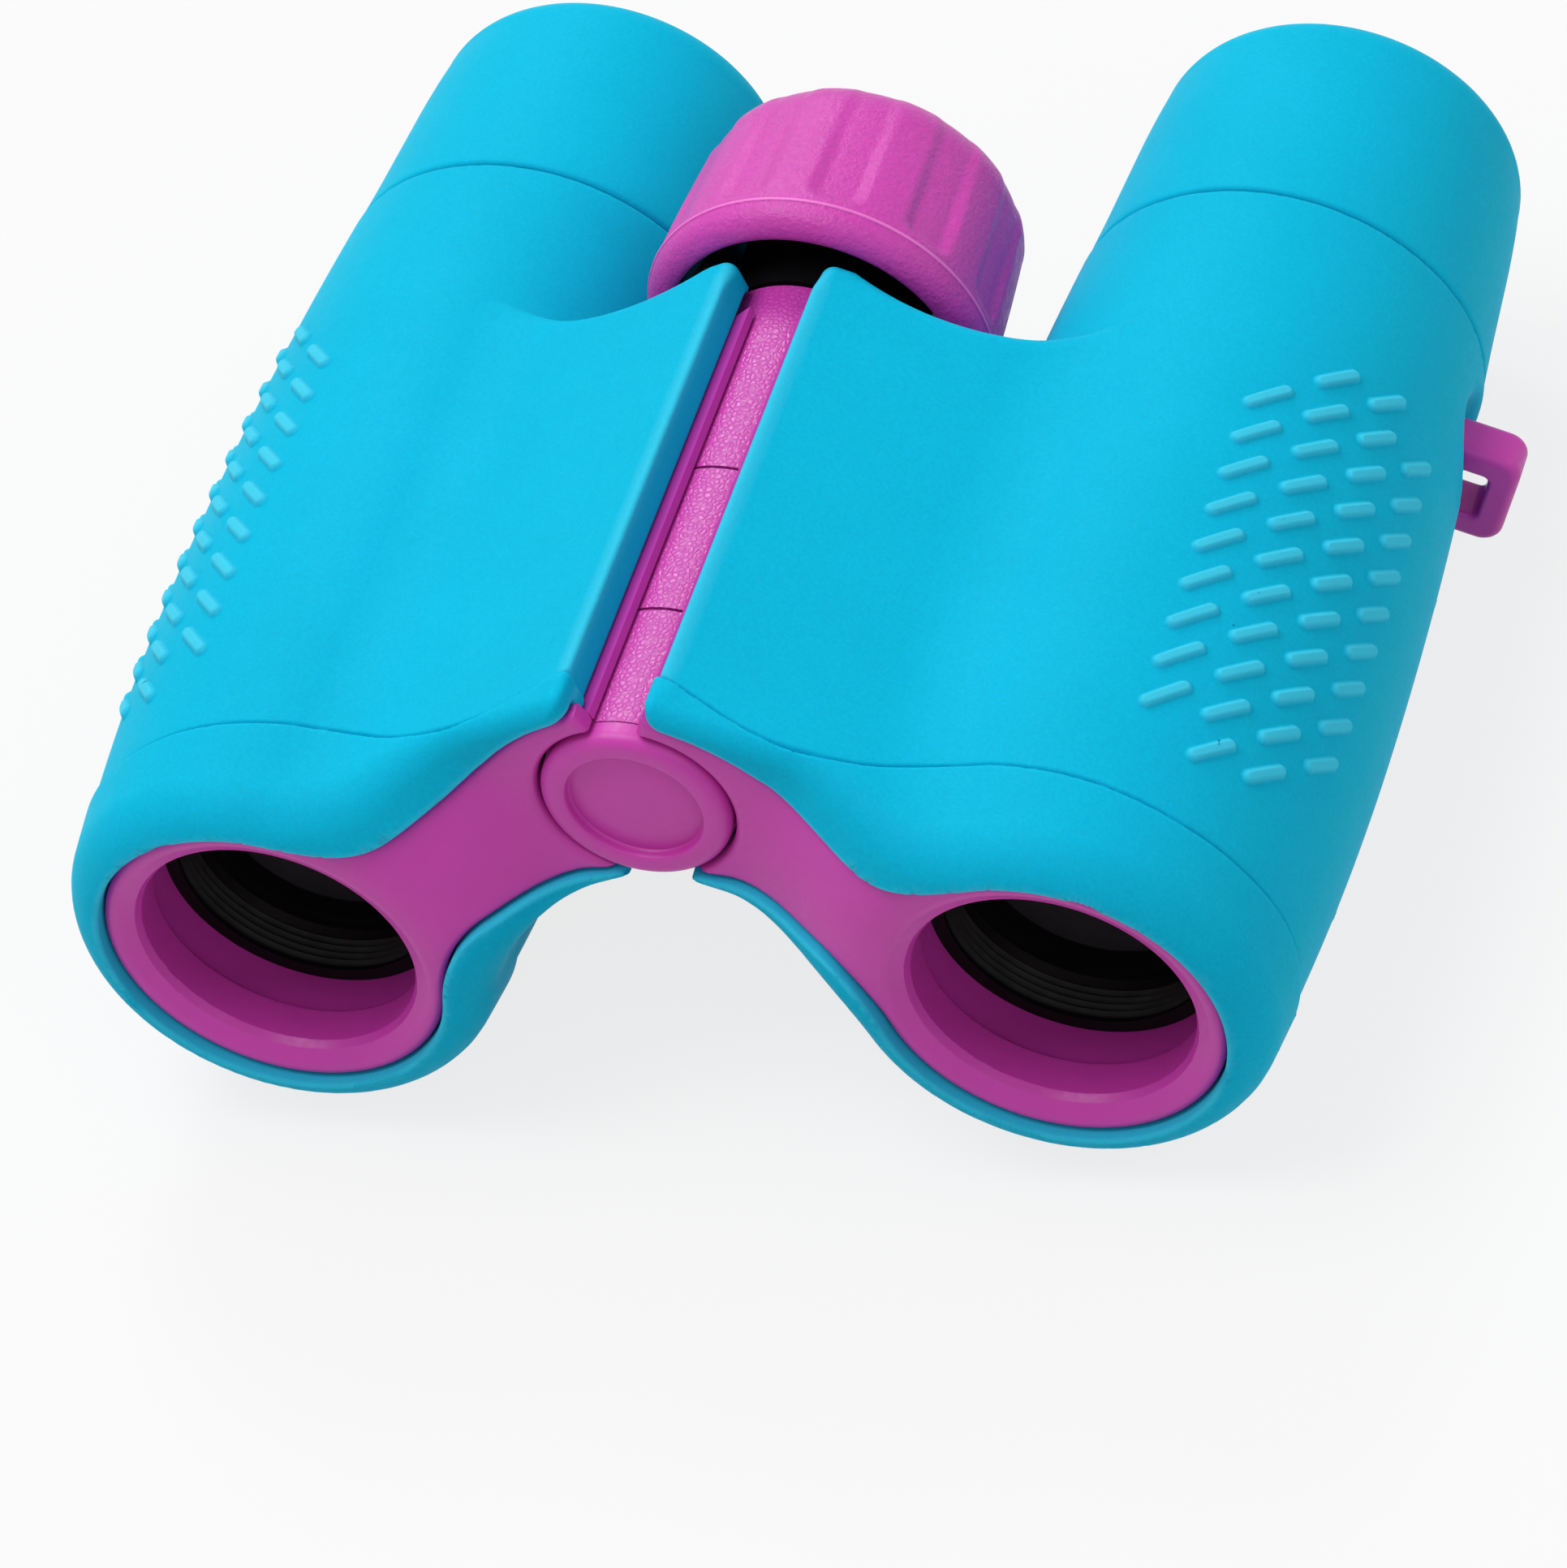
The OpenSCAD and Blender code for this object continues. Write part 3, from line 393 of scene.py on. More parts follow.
def mark_distance(x, y, z):
    """Distance from the nearest grip mark's middle bar, along the barrel's skin."""
    best = np.full(x.shape, FAR)
    near = (z > 10) & (z < 66) & (y > 2) & (x > 30)
    if not near.any():
        return best
    angle = np.degrees(np.arctan2(y[near], x[near] - SPACING))
    zs = z[near]
    least = best[near]
    for a, zc in MARKS:
        skin = np.radians(angle - a) * MARK_SKIN_R
        u = np.abs(zs - zc - skin) / math.sqrt(2)
        v = np.abs(zs - zc + skin) / math.sqrt(2)
        least = np.minimum(least, np.hypot(np.maximum(u - MARK_HALF, 0), v))
    best[near] = least
    return best


def corner_fill(dx, y, level, r):
    """Fills the corner between a level face and the barrel with a concave round."""
    cy = level + WING_FILLET
    cx = -np.sqrt((r + WING_FILLET) ** 2 - cy ** 2)
    inside = (dx > cx) & (-(dx - cx) * cy + (y - cy) * cx > 0)
    away = np.hypot(dx - cx, y - cy) - WING_FILLET
    return np.where(inside, np.maximum(-away, away - FILL_DEPTH), FAR)


WALL_ROUND = 1.3
REAR_ROUND = 1.6
LOW_ROUND = 0.4
LOW_START = 5.2
WING_END_X = 8
GROOVE_WIDTH = 0.2
MOULD_LINE_H = 0.06
DISH_ROUND = 0.7
LIP_ROUND = 0.4
ARMOUR_END_ROUND = 0.35
POCKET_HALF_Y, POCKET_HALF_Z = 5.2, 2.1
WEB_X, WEB_TOP, WEB_LOW, WEB_REAR = -1.45, 8.95, 4.45, 1.95
BORE_STEP_Z = 5.2


def wing_field(x, y, z, hollow):
    """The wing from the barrel to the hinge, with its hollow rear edge and its fillets."""
    top = y - WING_TOP
    wall = -WALL_SLOPE[0] * (x - RIDGE_X) - WALL_SLOPE[1] * (y - WING_TOP)
    rear = np.where(z < HOLLOW_Z, HOLLOW_R - hollow, FAR)
    rear = np.where(x < WING_END_X, np.maximum(rear, z - WING_END), rear)
    top_round = 0.5 + 1.1 * smooth((rear + 4.0) / 3.0)
    wing = cut_round(top, cut_round(wall, rear, WALL_ROUND), top_round)
    wing = np.maximum(wing, HINGE_CLEAR_R - np.hypot(x, y))
    floor = -WING_LOW - y
    low = np.where(y < 0, LOW_START - x, -FAR)
    wing = cut_round(wing, np.maximum(floor, low), LOW_ROUND)
    wing = np.maximum(wing, x - SPACING)
    fill = np.minimum(corner_fill(x - SPACING, y, WING_TOP, armour_r(z)),
                      corner_fill(x - SPACING, -y, WING_LOW, armour_r(z)))
    return np.minimum(wing, cut_round(fill, rear, REAR_ROUND))


def skin_relief(x, y, z):
    """How far the surface stands out: the front band, its groove, the marks and the mould line."""
    past = z - band_edge(x, y)
    step = smooth(0.5 - past / GROOVE_WIDTH)
    groove = np.exp(-((past - GROOVE_WIDTH) / GROOVE_WIDTH) ** 2)
    nub = np.exp(-((x - 0.2) ** 2 + (past + 0.6) ** 2) / 0.7)
    marks = MARK_H * smooth((MARK_R - mark_distance(x, y, z)) / MARK_EDGE)
    flash = MOULD_LINE_H * np.exp(-(y / 0.14) ** 2) * (x > SPACING)
    return BAND_STEP * step - GROOVE_DEPTH * groove + 0.2 * nub * (y > 9) + marks + flash


def lug_dish(x, y, z):
    """The dish that is pressed into the barrel around the strap lug."""
    out = x - SPACING - armour_r(np.array(LUG_MID)) - DISH_OUT
    return np.sqrt(out ** 2 + ((y - 0.8) / 1.5) ** 2 + ((z - LUG_MID - 0.6) / 0.85) ** 2) - DISH_R


def armour_hollow(x, y, z, hollow):
    """The room inside the armour for the tube, the web and the front plate."""
    r = np.hypot(x - SPACING, y)
    bore = r - (LIP_BORE_R + (BORE_R - LIP_BORE_R) * smooth((z - BORE_STEP_Z) / 0.5))
    web = np.maximum(np.maximum(WEB_X - x, y - WEB_TOP), np.maximum(-WEB_LOW - y, PLATE_BACK - z))
    web = np.maximum(np.maximum(web, HOLLOW_R + WEB_REAR - hollow), x - SPACING)
    plate = np.maximum(plate_edges(x, y) - PLATE_GAP, z - PLATE_BACK - 0.05)
    return np.minimum(np.minimum(bore, web), plate)


def armour_field(x, y, z):
    barrel = np.hypot(x - SPACING, y) - armour_r(z)
    hollow = np.hypot(x - HOLLOW_X, z - HOLLOW_Z)
    body = np.minimum(barrel, wing_field(x, y, z, hollow))
    front = face_rise(x, y) * ARMOUR_HINGE_Z - z
    edge = 1.3 + 1.2 * smooth((x - 6) / 14)
    body = cut_round(body, front, edge)
    body = cut_round(body, z - ARMOUR_LEN, ARMOUR_END_ROUND)
    body = body - skin_relief(x, y, z)
    body = cut_round(body, -lug_dish(x, y, z), DISH_ROUND)
    pocket = np.maximum(np.abs(y - LUG_Y) - POCKET_HALF_Y, np.abs(z - LUG_MID) - POCKET_HALF_Z)
    pocket = np.maximum(pocket, SPACING - x)
    body = np.maximum(body, -pocket)
    return cut_round(body, -armour_hollow(x, y, z, hollow), LIP_ROUND)


def armour_painted_highlight(p):
    """How much painted highlight pales the rubber: on the grip marks, the ridges and the lip's rim.
    """
    x, y, z = p.T
    marks = 0.5 * smooth((0.75 - mark_distance(x, y, z)) / 0.4)
    rim = 0.35 * smooth((0.55 - np.abs(plate_edges(x, y) - 0.3)) / 0.5) * (z < 9.5)
    ridge = 0.3 * smooth((1.1 - np.hypot(x - RIDGE_X - 0.3, y - WING_TOP + 0.1)) / 0.9) * (z > 10)
    return np.maximum(np.maximum(marks, rim), ridge)


def armour_fine(p, level):
    """Where the armour's mesh is split again: at the band's step, the marks and the lip."""
    x, y, z = p.T
    r = np.hypot(x - SPACING, y)
    outside = (r > 16) & ((y > 9.3) | (x > 22))
    line = (np.abs(z - band_edge(x, y) - 0.1) < (1.3, 0.85, 0.6)[level]) & outside
    marks = mark_distance(x, y, z) < (2.0, 1.4, 1.0)[level]
    flash = (np.abs(y) < 0.4) & (x > SPACING) & (r > 16) & (level < 2)
    lip = (np.abs(plate_edges(x, y) - 0.2) < (1.3, 0.9, 0.6)[level]) & (z < 8.5)
    return line | marks | flash | lip


def armour_lip(p):
    """The zone of the thin lip around the front plate, whose points are evened out."""
    x, y, z = p.T
    return (np.abs(plate_edges(x, y) - 0.3) < 0.75) & (z < 8.0)


# Front plates


PLATE_ROUND = 0.75
MOUTH_ROUND = 0.2
RING_BACK = 5.4
DISHED_R, DISHED_SLOPE = 13.3, (0.51, 0.86)
ROLLED_R, ROLLED_Z, ROLLED_SLOPE = 11.95, RING_Z + 0.8, (0.894, 0.447)


def plate_field(x, y, z):
    """The ring around the mouth, with a dished and rolled edge, and the strip to the hinge."""
    r = np.hypot(x - SPACING, y)
    front = RING_Z + face_rise(x, y) * (PLATE_HINGE_Z - RING_Z) - z
    body = cut_round(plate_edges(x, y), front, PLATE_ROUND)
    back = np.where(r < BORE_R, z - RING_BACK, z - PLATE_BACK)
    body = np.maximum(body, back)
    dished = DISHED_SLOPE[0] * (DISHED_R - r) + DISHED_SLOPE[1] * (RING_Z - z)
    rolled = ROLLED_SLOPE[0] * (ROLLED_R - r) + ROLLED_SLOPE[1] * (ROLLED_Z - z)
    mouth = np.maximum(np.maximum(dished, rolled), MOUTH_R - r)
    mouth = np.where(r > 16, -FAR, mouth)
    return cut_round(body, mouth, MOUTH_ROUND)


def plate_fine(p, level):
    x, y, z = p.T
    r = np.hypot(x - SPACING, y)
    return (r < 14.7) & (z < 2.6)


# Strap lugs


LUG_ROUND = 0.8
SLOT_X, SLOT_HALF_X, SLOT_HALF_Y = 18.6, 0.8, 1.9
SLOT_CORNER, SLOT_ROUND = 0.6, 0.4


def lug_field(x, y, z):
    """A rounded slab with a strap slot, rooted in the tube."""
    dx = x - SPACING
    dy = np.abs(y - LUG_Y)
    flat = np.maximum(dy - LUG_HALF, dx - LUG_OUT)
    out = np.hypot(np.maximum(dy - LUG_HALF, 0), np.maximum(dx - LUG_OUT, 0)) - LUG_CORNER
    flat = np.maximum(flat - LUG_CORNER, out)
    slab = np.abs(z - LUG_MID) - LUG_T / 2
    body = cut_round(flat, slab, LUG_ROUND)
    slot = np.hypot(np.maximum(dy - SLOT_HALF_Y, 0),
                    np.maximum(np.abs(dx - SLOT_X) - SLOT_HALF_X, 0)) - SLOT_CORNER
    body = cut_round(body, -slot, SLOT_ROUND)
    return np.maximum(body, LUG_ROOT_R - np.hypot(dx, y))


# Turned pieces


def lathe(profile, count, centre):
    """Points and faces of a profile (r, z) turned about a line along z through centre."""
    points = []
    faces = []
    n = len(profile)
    for i in range(count):
        a = 2 * math.pi * i / count
        for r, z in profile:
            points.append((centre[0] + r * math.cos(a), centre[1] + r * math.sin(a), z))
    for i in range(count):
        j = (i + 1) % count
        for k in range(n - 1):
            faces.append((i * n + k, j * n + k, j * n + k + 1, i * n + k + 1))
    return np.array(points), faces


def arc(centre, r, start, end, steps):
    """Points (r, z) along an arc between two angles in degrees."""
    return [(centre[0] + r * math.cos(math.radians(start + (end - start) * i / steps)),
             centre[1] + r * math.sin(math.radians(start + (end - start) * i / steps)))
            for i in range(steps + 1)]


def closed(points, faces):
    """Merges doubled points, so that a turned piece is one closed skin facing outwards."""
    bm = bmesh.new()
    verts = [bm.verts.new(q) for q in points]
    for face in faces:
        bm.faces.new([verts[i] for i in face])
    bmesh.ops.remove_doubles(bm, verts=bm.verts[:], dist=1e-7)
    bmesh.ops.dissolve_degenerate(bm, edges=bm.edges[:], dist=1e-8)
    bmesh.ops.recalc_face_normals(bm, faces=bm.faces[:])
    bm.verts.index_update()
    p = np.array([v.co[:] for v in bm.verts])
    f = [[v.index for v in face.verts] for face in bm.faces]
    bm.free()
    return p, f


def add_turned(name, profile, count, centre, side, body, material, replaces):
    points, faces = lathe(profile + [profile[0]], count, centre)
    points, faces = closed(to_row(points, side), faces)
    return add_mesh(name, points, faces, body, material, replaces, sharp=40)


def eyecup_profile():
    """Outline (r, z) of an eyecup: a soft taper, a rounded rim and a stepped bore."""
    z0 = 75.4
    rim_z = 95.6
    rim_r = 3.8
    outer = [(17.36, z0 + 0.4), (17.0, 80.0), (16.65, 85.0), (16.3, 90.0), (15.95, 93.5),
             (15.66, rim_z)]
    zs = np.linspace(z0 + 0.35, rim_z, 40)
    rs = np.interp(zs, [q[1] for q in outer], [q[0] for q in outer])
    window = np.hanning(9)
    rs = np.convolve(np.pad(rs, 4, mode="reflect", reflect_type="odd"), window / window.sum(),
                     mode="valid")
    mouth = 11.0
    profile = [(14.02, z0 + 9.2), (14.02, z0 + 0.1), (14.3, z0)]
    profile += [(r0, z0 + h) for r0, h in ((16.95, 0.0), (17.1, 0.04), (17.22, 0.13), (17.3, 0.24))]
    profile += list(zip(rs, zs))
    profile += arc((rs[-1] - rim_r, rim_z), rim_r, 0, 80, 14)[1:]
    profile += [(11.7, 99.36), (11.2, 99.2), (mouth, 98.9), (mouth, 96.5), (11.1, 96.4)]
    profile += [(12.7, 96.4), (12.7, z0 + 9.2)]
    return profile


def cap_profile():
    """Outline (r, z) of the hinge cap: a rounded rim around a sunk face."""
    z0 = 6.25
    profile = [(7.92, 8.25), (7.92, z0 + 1.1)]
    profile += arc((6.82, z0 + 1.1), 1.1, 0, -90, 10)[1:]
    profile += [(6.3, z0), (5.92, z0 + 0.02), (5.78, z0 + 0.07), (5.7, z0 + 0.18), (5.66, z0 + 0.5)]
    profile += [(5.62, z0 + 0.78), (5.54, z0 + 0.86), (5.4, z0 + 0.86), (5.2, z0 + 0.8)]
    profile += [(2.5, z0 + 0.78), (0.0, z0 + 0.78), (0.0, 8.25)]
    return profile


FLUTES = 11
FLUTE_DEPTH = 0.48
FLUTE_HALF = 0.95
FLUTE_START = 3.5
FLUTE_SKIN_R = 14.4
KNOB_Z = 58.0
KNOB_LEN = 19.4
KNOB_R = 14.76
KNOB_TAPER = 1.35
KNOB_LINE = 2.2
KNOB_BORE = 12.2
KNOB_ROUND_Z = 14.4
KNOB_ROUND = 5.0
BEAD_R = 14.6
BEAD_START, BEAD_END = 2.2, 2.44


def knob_radius(z):
    """Outer radius of the knob behind its parting line."""
    t = np.clip((z - KNOB_LINE) / (KNOB_LEN - KNOB_LINE), 0, 1)
    return KNOB_R - KNOB_TAPER * t ** 1.4


def make_knob(material, bead_highlight):
    """The fluted knob: rows of (r, z, how much of the flutes shows), turned about the hinge."""
    columns = 44 * FLUTES
    angles = np.linspace(0, 2 * math.pi, columns, endpoint=False)
    front = [(KNOB_BORE, 3.0), (KNOB_BORE, 0.4), (12.24, 0.2), (12.34, 0.06)]
    front += arc((12.6, 2.1), 2.1, 270, 358, 14)
    front += [(14.74, 2.12), (14.82, 2.17), (14.87, 2.26), (14.87, 2.38), (14.82, 2.47)]
    body_z = np.concatenate([np.linspace(2.55, 4.8, 22), np.linspace(5.0, KNOB_ROUND_Z, 24)])
    rows = [(r, z, 0.0) for r, z in front]
    rows += [(float(knob_radius(z)), float(z), float(1.0 - 0.4 * smooth((z - 7.0) / 7.4)))
             for z in body_z]
    centre = (rows[-1][0] - KNOB_ROUND, KNOB_ROUND_Z)
    for i, (r, z) in enumerate(arc(centre, KNOB_ROUND, 5, 88, 18)):
        rows.append((r, z, 0.6 - 0.032 * i))
    rows += [(9.1, KNOB_LEN, 0.0), (9.0, 19.3, 0.0), (9.0, 16.8, 0.0), (KNOB_BORE, 16.8, 0.0)]
    pitch = 2 * math.pi / FLUTES
    local = (angles - math.pi / 2) % pitch - pitch / 2
    points = []
    for r, z, weight in rows:
        across = np.abs(local) * FLUTE_SKIN_R
        ahead = np.maximum(1.0 - (z - FLUTE_START), 0)
        gap = np.hypot(np.maximum(across - FLUTE_HALF, 0), ahead) - 1.0
        rr = r - FLUTE_DEPTH * weight * smooth(0.5 - gap / 1.35)
        points += list(zip(rr * np.cos(angles), rr * np.sin(angles), np.full(columns, KNOB_Z + z)))
    faces = []
    n = len(rows)
    for k in range(n):
        m = (k + 1) % n
        for i in range(columns):
            j = (i + 1) % columns
            faces.append((k * columns + i, k * columns + j, m * columns + j, m * columns + i))
    p = np.array(points)
    row = np.column_stack([p[:, 0], p[:, 2] - TOTAL / 2, HINGE_H + p[:, 1]]) * MM
    row, faces = closed(row, faces)
    knob = add_mesh("knob_grip", row, faces, "focus_wheel", material,
                    "focus_knob", sharp=48)
    # The bead's outer faces take the paler magenta, a painted highlight along the ridge
    knob.data.materials.append(bead_highlight)
    centres = np.array([face.center[:] for face in knob.data.polygons]) / MM
    along = centres[:, 1] + TOTAL / 2 - KNOB_Z
    outer = np.hypot(centres[:, 0], centres[:, 2] - HINGE_H) > BEAD_R
    painted_bead_faces = outer & (along > BEAD_START) & (along < BEAD_END)
    knob.data.polygons.foreach_set("material_index", painted_bead_faces.astype(np.int32))


# Materials


def new_material(name, colour, roughness, **settings):
    """A material with its tree and shader; a setting's underscores stand for spaces."""
    material = bpy.data.materials.new(name)
    material.use_nodes = True
    tree = material.node_tree
    shader = tree.nodes["Principled BSDF"]
    shader.inputs["Base Color"].default_value = (*colour, 1)
    shader.inputs["Roughness"].default_value = roughness
    for key, value in settings.items():
        shader.inputs[key.replace("_", " ")].default_value = value
    return material, tree, shader


def noise(tree, scale, detail=3.0, rough=0.5):
    coords = tree.nodes.new("ShaderNodeTexCoord")
    tex = tree.nodes.new("ShaderNodeTexNoise")
    tex.inputs["Scale"].default_value = scale
    tex.inputs["Detail"].default_value = detail
    tex.inputs["Roughness"].default_value = rough
    tree.links.new(coords.outputs["Object"], tex.inputs["Vector"])
    return tex.outputs["Fac"]


def ramp(tree, factor, stops):
    node = tree.nodes.new("ShaderNodeValToRGB")
    elements = node.color_ramp.elements
    while len(elements) < len(stops):
        elements.new(0.5)
    for element, (place, colour) in zip(elements, stops):
        element.position = place
        element.color = (*colour, 1)
    tree.links.new(factor, node.inputs["Fac"])
    return node.outputs["Color"]


def bump(tree, shader, heights):
    """Chains bump nodes from (height, strength, distance)."""
    last = None
    for height, strength, distance in heights:
        node = tree.nodes.new("ShaderNodeBump")
        node.inputs["Strength"].default_value = strength
        node.inputs["Distance"].default_value = distance
        tree.links.new(height, node.inputs["Height"])
        if last:
            tree.links.new(last, node.inputs["Normal"])
        last = node.outputs["Normal"]
    tree.links.new(last, shader.inputs["Normal"])


def multiply(tree, first, second):
    mix = tree.nodes.new("ShaderNodeMix")
    mix.data_type = "RGBA"
    mix.blend_type = "MULTIPLY"
    mix.inputs[0].default_value = 1.0
    tree.links.new(first, mix.inputs[6])
    tree.links.new(second, mix.inputs[7])
    return mix.outputs[2]


def grey(value):
    return (value, value, value)


def shade(colour, factor):
    return tuple(min(1.0, c * factor) for c in colour)


BLUE = (0.004, 0.435, 0.655)
# Paler blue painted on as a highlight on the grip marks, ridges and lip rim
PAINTED_HIGHLIGHT_BLUE = (0.09, 0.60, 0.77)
MAGENTA = (0.560, 0.042, 0.390)
# Paler magenta painted on the knob's bead as a highlight along its ridge
PAINTED_HIGHLIGHT_MAGENTA = (0.74, 0.15, 0.54)


def rubber_material():
    """Soft blue rubber, with painted highlights that pale it on the grip marks, ridges and lip rim.
    """
    material, tree, shader = new_material(
        "soft_blue_rubber", BLUE, 0.52, Specular_IOR_Level=0.02, Subsurface_Weight=0.35,
        Subsurface_Scale=0.0011)
    shader.inputs["Subsurface Radius"].default_value = (0.12, 0.8, 1.0)
    cloudy = noise(tree, 60, 4, 0.55)
    speck = noise(tree, 3300, 2, 0.6)
    tone = ramp(tree, cloudy, [(0.3, shade(BLUE, 0.965)), (0.7, shade(BLUE, 1.03))])
    dots = ramp(tree, speck, [(0.3, grey(0.92)), (0.6, grey(1.0)), (0.76, (1.0, 1.06, 1.06))])
    # Mixes in the paler blue as a painted highlight, as far as the attribute says
    painted_highlight = tree.nodes.new("ShaderNodeAttribute")
    painted_highlight.attribute_name = "painted_highlight"
    whole = tree.nodes.new("ShaderNodeMix")
    whole.data_type = "RGBA"
    tree.links.new(painted_highlight.outputs["Fac"], whole.inputs[0])
    tree.links.new(multiply(tree, tone, dots), whole.inputs[6])
    whole.inputs[7].default_value = (*PAINTED_HIGHLIGHT_BLUE, 1)
    tree.links.new(whole.outputs[2], shader.inputs["Base Color"])
    rough = ramp(tree, noise(tree, 900, 3), [(0.3, grey(0.47)), (0.7, grey(0.58))])
    tree.links.new(rough, shader.inputs["Roughness"])
    bump(tree, shader, [(noise(tree, 3800, 2, 0.6), 0.3, 0.00004),
                        (noise(tree, 500, 2, 0.5), 0.05, 0.00006)])
    return material


def magenta_material(name, grain, depth, height, rough_low, rough_high, speckle, colour=MAGENTA):
    material, tree, shader = new_material(name, colour, 0.35, Specular_IOR_Level=0.38)
    tone = ramp(tree, noise(tree, 90, 3), [(0.3, shade(colour, 0.95)), (0.7, shade(colour, 1.04))])
    dots = ramp(tree, noise(tree, grain * 0.8, 2, 0.6),
                [(0.36, grey(1.0 - speckle)), (0.6, grey(1.0))])
    tree.links.new(multiply(tree, tone, dots), shader.inputs["Base Color"])
    rough = ramp(tree, noise(tree, grain * 0.4, 2),
                 [(0.3, grey(rough_low)), (0.7, grey(rough_high))])
    tree.links.new(rough, shader.inputs["Roughness"])
    bump(tree, shader, [(noise(tree, grain, 3, 0.6), depth, height),
                        (noise(tree, grain * 0.35, 2, 0.5), depth * 0.5, height)])
    return material


def leather_material():
    """Moulded leather grain: raised cells with fine creases between them."""
    material, tree, shader = new_material("grained_magenta", MAGENTA, 0.3, Specular_IOR_Level=0.5)
    coords = tree.nodes.new("ShaderNodeTexCoord")
    warp = tree.nodes.new("ShaderNodeTexNoise")
    warp.inputs["Scale"].default_value = 1500
    warp.inputs["Detail"].default_value = 2
    tree.links.new(coords.outputs["Object"], warp.inputs["Vector"])
    add = tree.nodes.new("ShaderNodeVectorMath")
    add.operation = "MULTIPLY_ADD"
    add.inputs[1].default_value = (0.0003, 0.0003, 0.0003)
    tree.links.new(warp.outputs["Color"], add.inputs[0])
    tree.links.new(coords.outputs["Object"], add.inputs[2])
    cells = tree.nodes.new("ShaderNodeTexVoronoi")
    cells.feature = "DISTANCE_TO_EDGE"
    cells.inputs["Scale"].default_value = 2000
    tree.links.new(add.outputs[0], cells.inputs["Vector"])
    height = ramp(tree, cells.outputs["Distance"], [(0.0, grey(0.0)), (0.28, grey(1.0))])
    # The creases between the cells are painted darker: painted shade in the grain
    tone = ramp(tree, cells.outputs["Distance"],
                [(0.0, shade(MAGENTA, 0.86)), (0.2, shade(MAGENTA, 1.02))])
    tree.links.new(tone, shader.inputs["Base Color"])
    rough = ramp(tree, noise(tree, 2500, 2), [(0.3, grey(0.27)), (0.7, grey(0.4))])
    tree.links.new(rough, shader.inputs["Roughness"])
    bump(tree, shader, [(height, 0.4, 0.00007), (noise(tree, 6000, 2), 0.12, 0.00004)])
    return material


def dark_material(name, colour, rough_low, rough_high, grain, depth, specular):
    material, tree, shader = new_material(name, colour, rough_low, Specular_IOR_Level=specular)
    tone = ramp(tree, noise(tree, 200, 3), [(0.3, shade(colour, 0.85)), (0.7, shade(colour, 1.2))])
    tree.links.new(tone, shader.inputs["Base Color"])
    rough = ramp(tree, noise(tree, 700, 3), [(0.3, grey(rough_low)), (0.7, grey(rough_high))])
    tree.links.new(rough, shader.inputs["Roughness"])
    bump(tree, shader, [(noise(tree, grain, 2), depth, 0.00003)])
    return material


def glass_material():
    """Dark coated glass: nearly black inside, with a thin-film tint in its reflections."""
    colour = (0.030, 0.030, 0.032)
    material, tree, shader = new_material(
        "coated_glass", colour, 0.04, IOR=1.52, Specular_IOR_Level=0.35, Coat_Weight=0.3,
        Coat_Roughness=0.03)
    shader.inputs["Specular Tint"].default_value = (0.62, 0.55, 1.0, 1)
    tone = ramp(tree, noise(tree, 120, 2),
                [(0.3, (0.026, 0.026, 0.028)), (0.7, (0.034, 0.034, 0.037))])
    tree.links.new(tone, shader.inputs["Base Color"])
    rough = ramp(tree, noise(tree, 400, 2), [(0.3, grey(0.03)), (0.7, grey(0.06))])
    tree.links.new(rough, shader.inputs["Roughness"])
    return material


def steel_material():
    colour = (0.56, 0.56, 0.58)
    material, tree, shader = new_material("turned_steel", colour, 0.3, Metallic=1.0)
    coords = tree.nodes.new("ShaderNodeTexCoord")
    wave = tree.nodes.new("ShaderNodeTexWave")
    wave.bands_direction = "Y"
    wave.inputs["Scale"].default_value = 1800
    wave.inputs["Distortion"].default_value = 1.5
    tree.links.new(coords.outputs["Object"], wave.inputs["Vector"])
    tone = ramp(tree, noise(tree, 300, 3), [(0.3, shade(colour, 0.9)), (0.7, shade(colour, 1.1))])
    tree.links.new(tone, shader.inputs["Base Color"])
    rough = ramp(tree, wave.outputs["Fac"], [(0.0, grey(0.24)), (1.0, grey(0.36))])
    tree.links.new(rough, shader.inputs["Roughness"])
    bump(tree, shader, [(wave.outputs["Fac"], 0.1, 0.00002)])
    return material


rubber = rubber_material()
plate_magenta = magenta_material("moulded_magenta", 5200, 0.12, 0.00008, 0.34, 0.46, 0.02)
knob_magenta = magenta_material("spark_magenta", 2700, 0.75, 0.00016, 0.34, 0.46, 0.1)
# The bead's paler magenta is a painted highlight
bead_highlight_magenta = magenta_material("bead_painted_highlight", 2700, 0.2, 0.0001, 0.34, 0.46, 0.02, PAINTED_HIGHLIGHT_MAGENTA)
leather = leather_material()
matt_black = dark_material("matt_black", (0.003, 0.003, 0.003), 0.35, 0.5, 5000, 0.1, 0.12)
gloss_black = dark_material("gloss_black", (0.005, 0.005, 0.006), 0.10, 0.18, 3000, 0.03, 0.5)
glass = glass_material()
steel = steel_material()

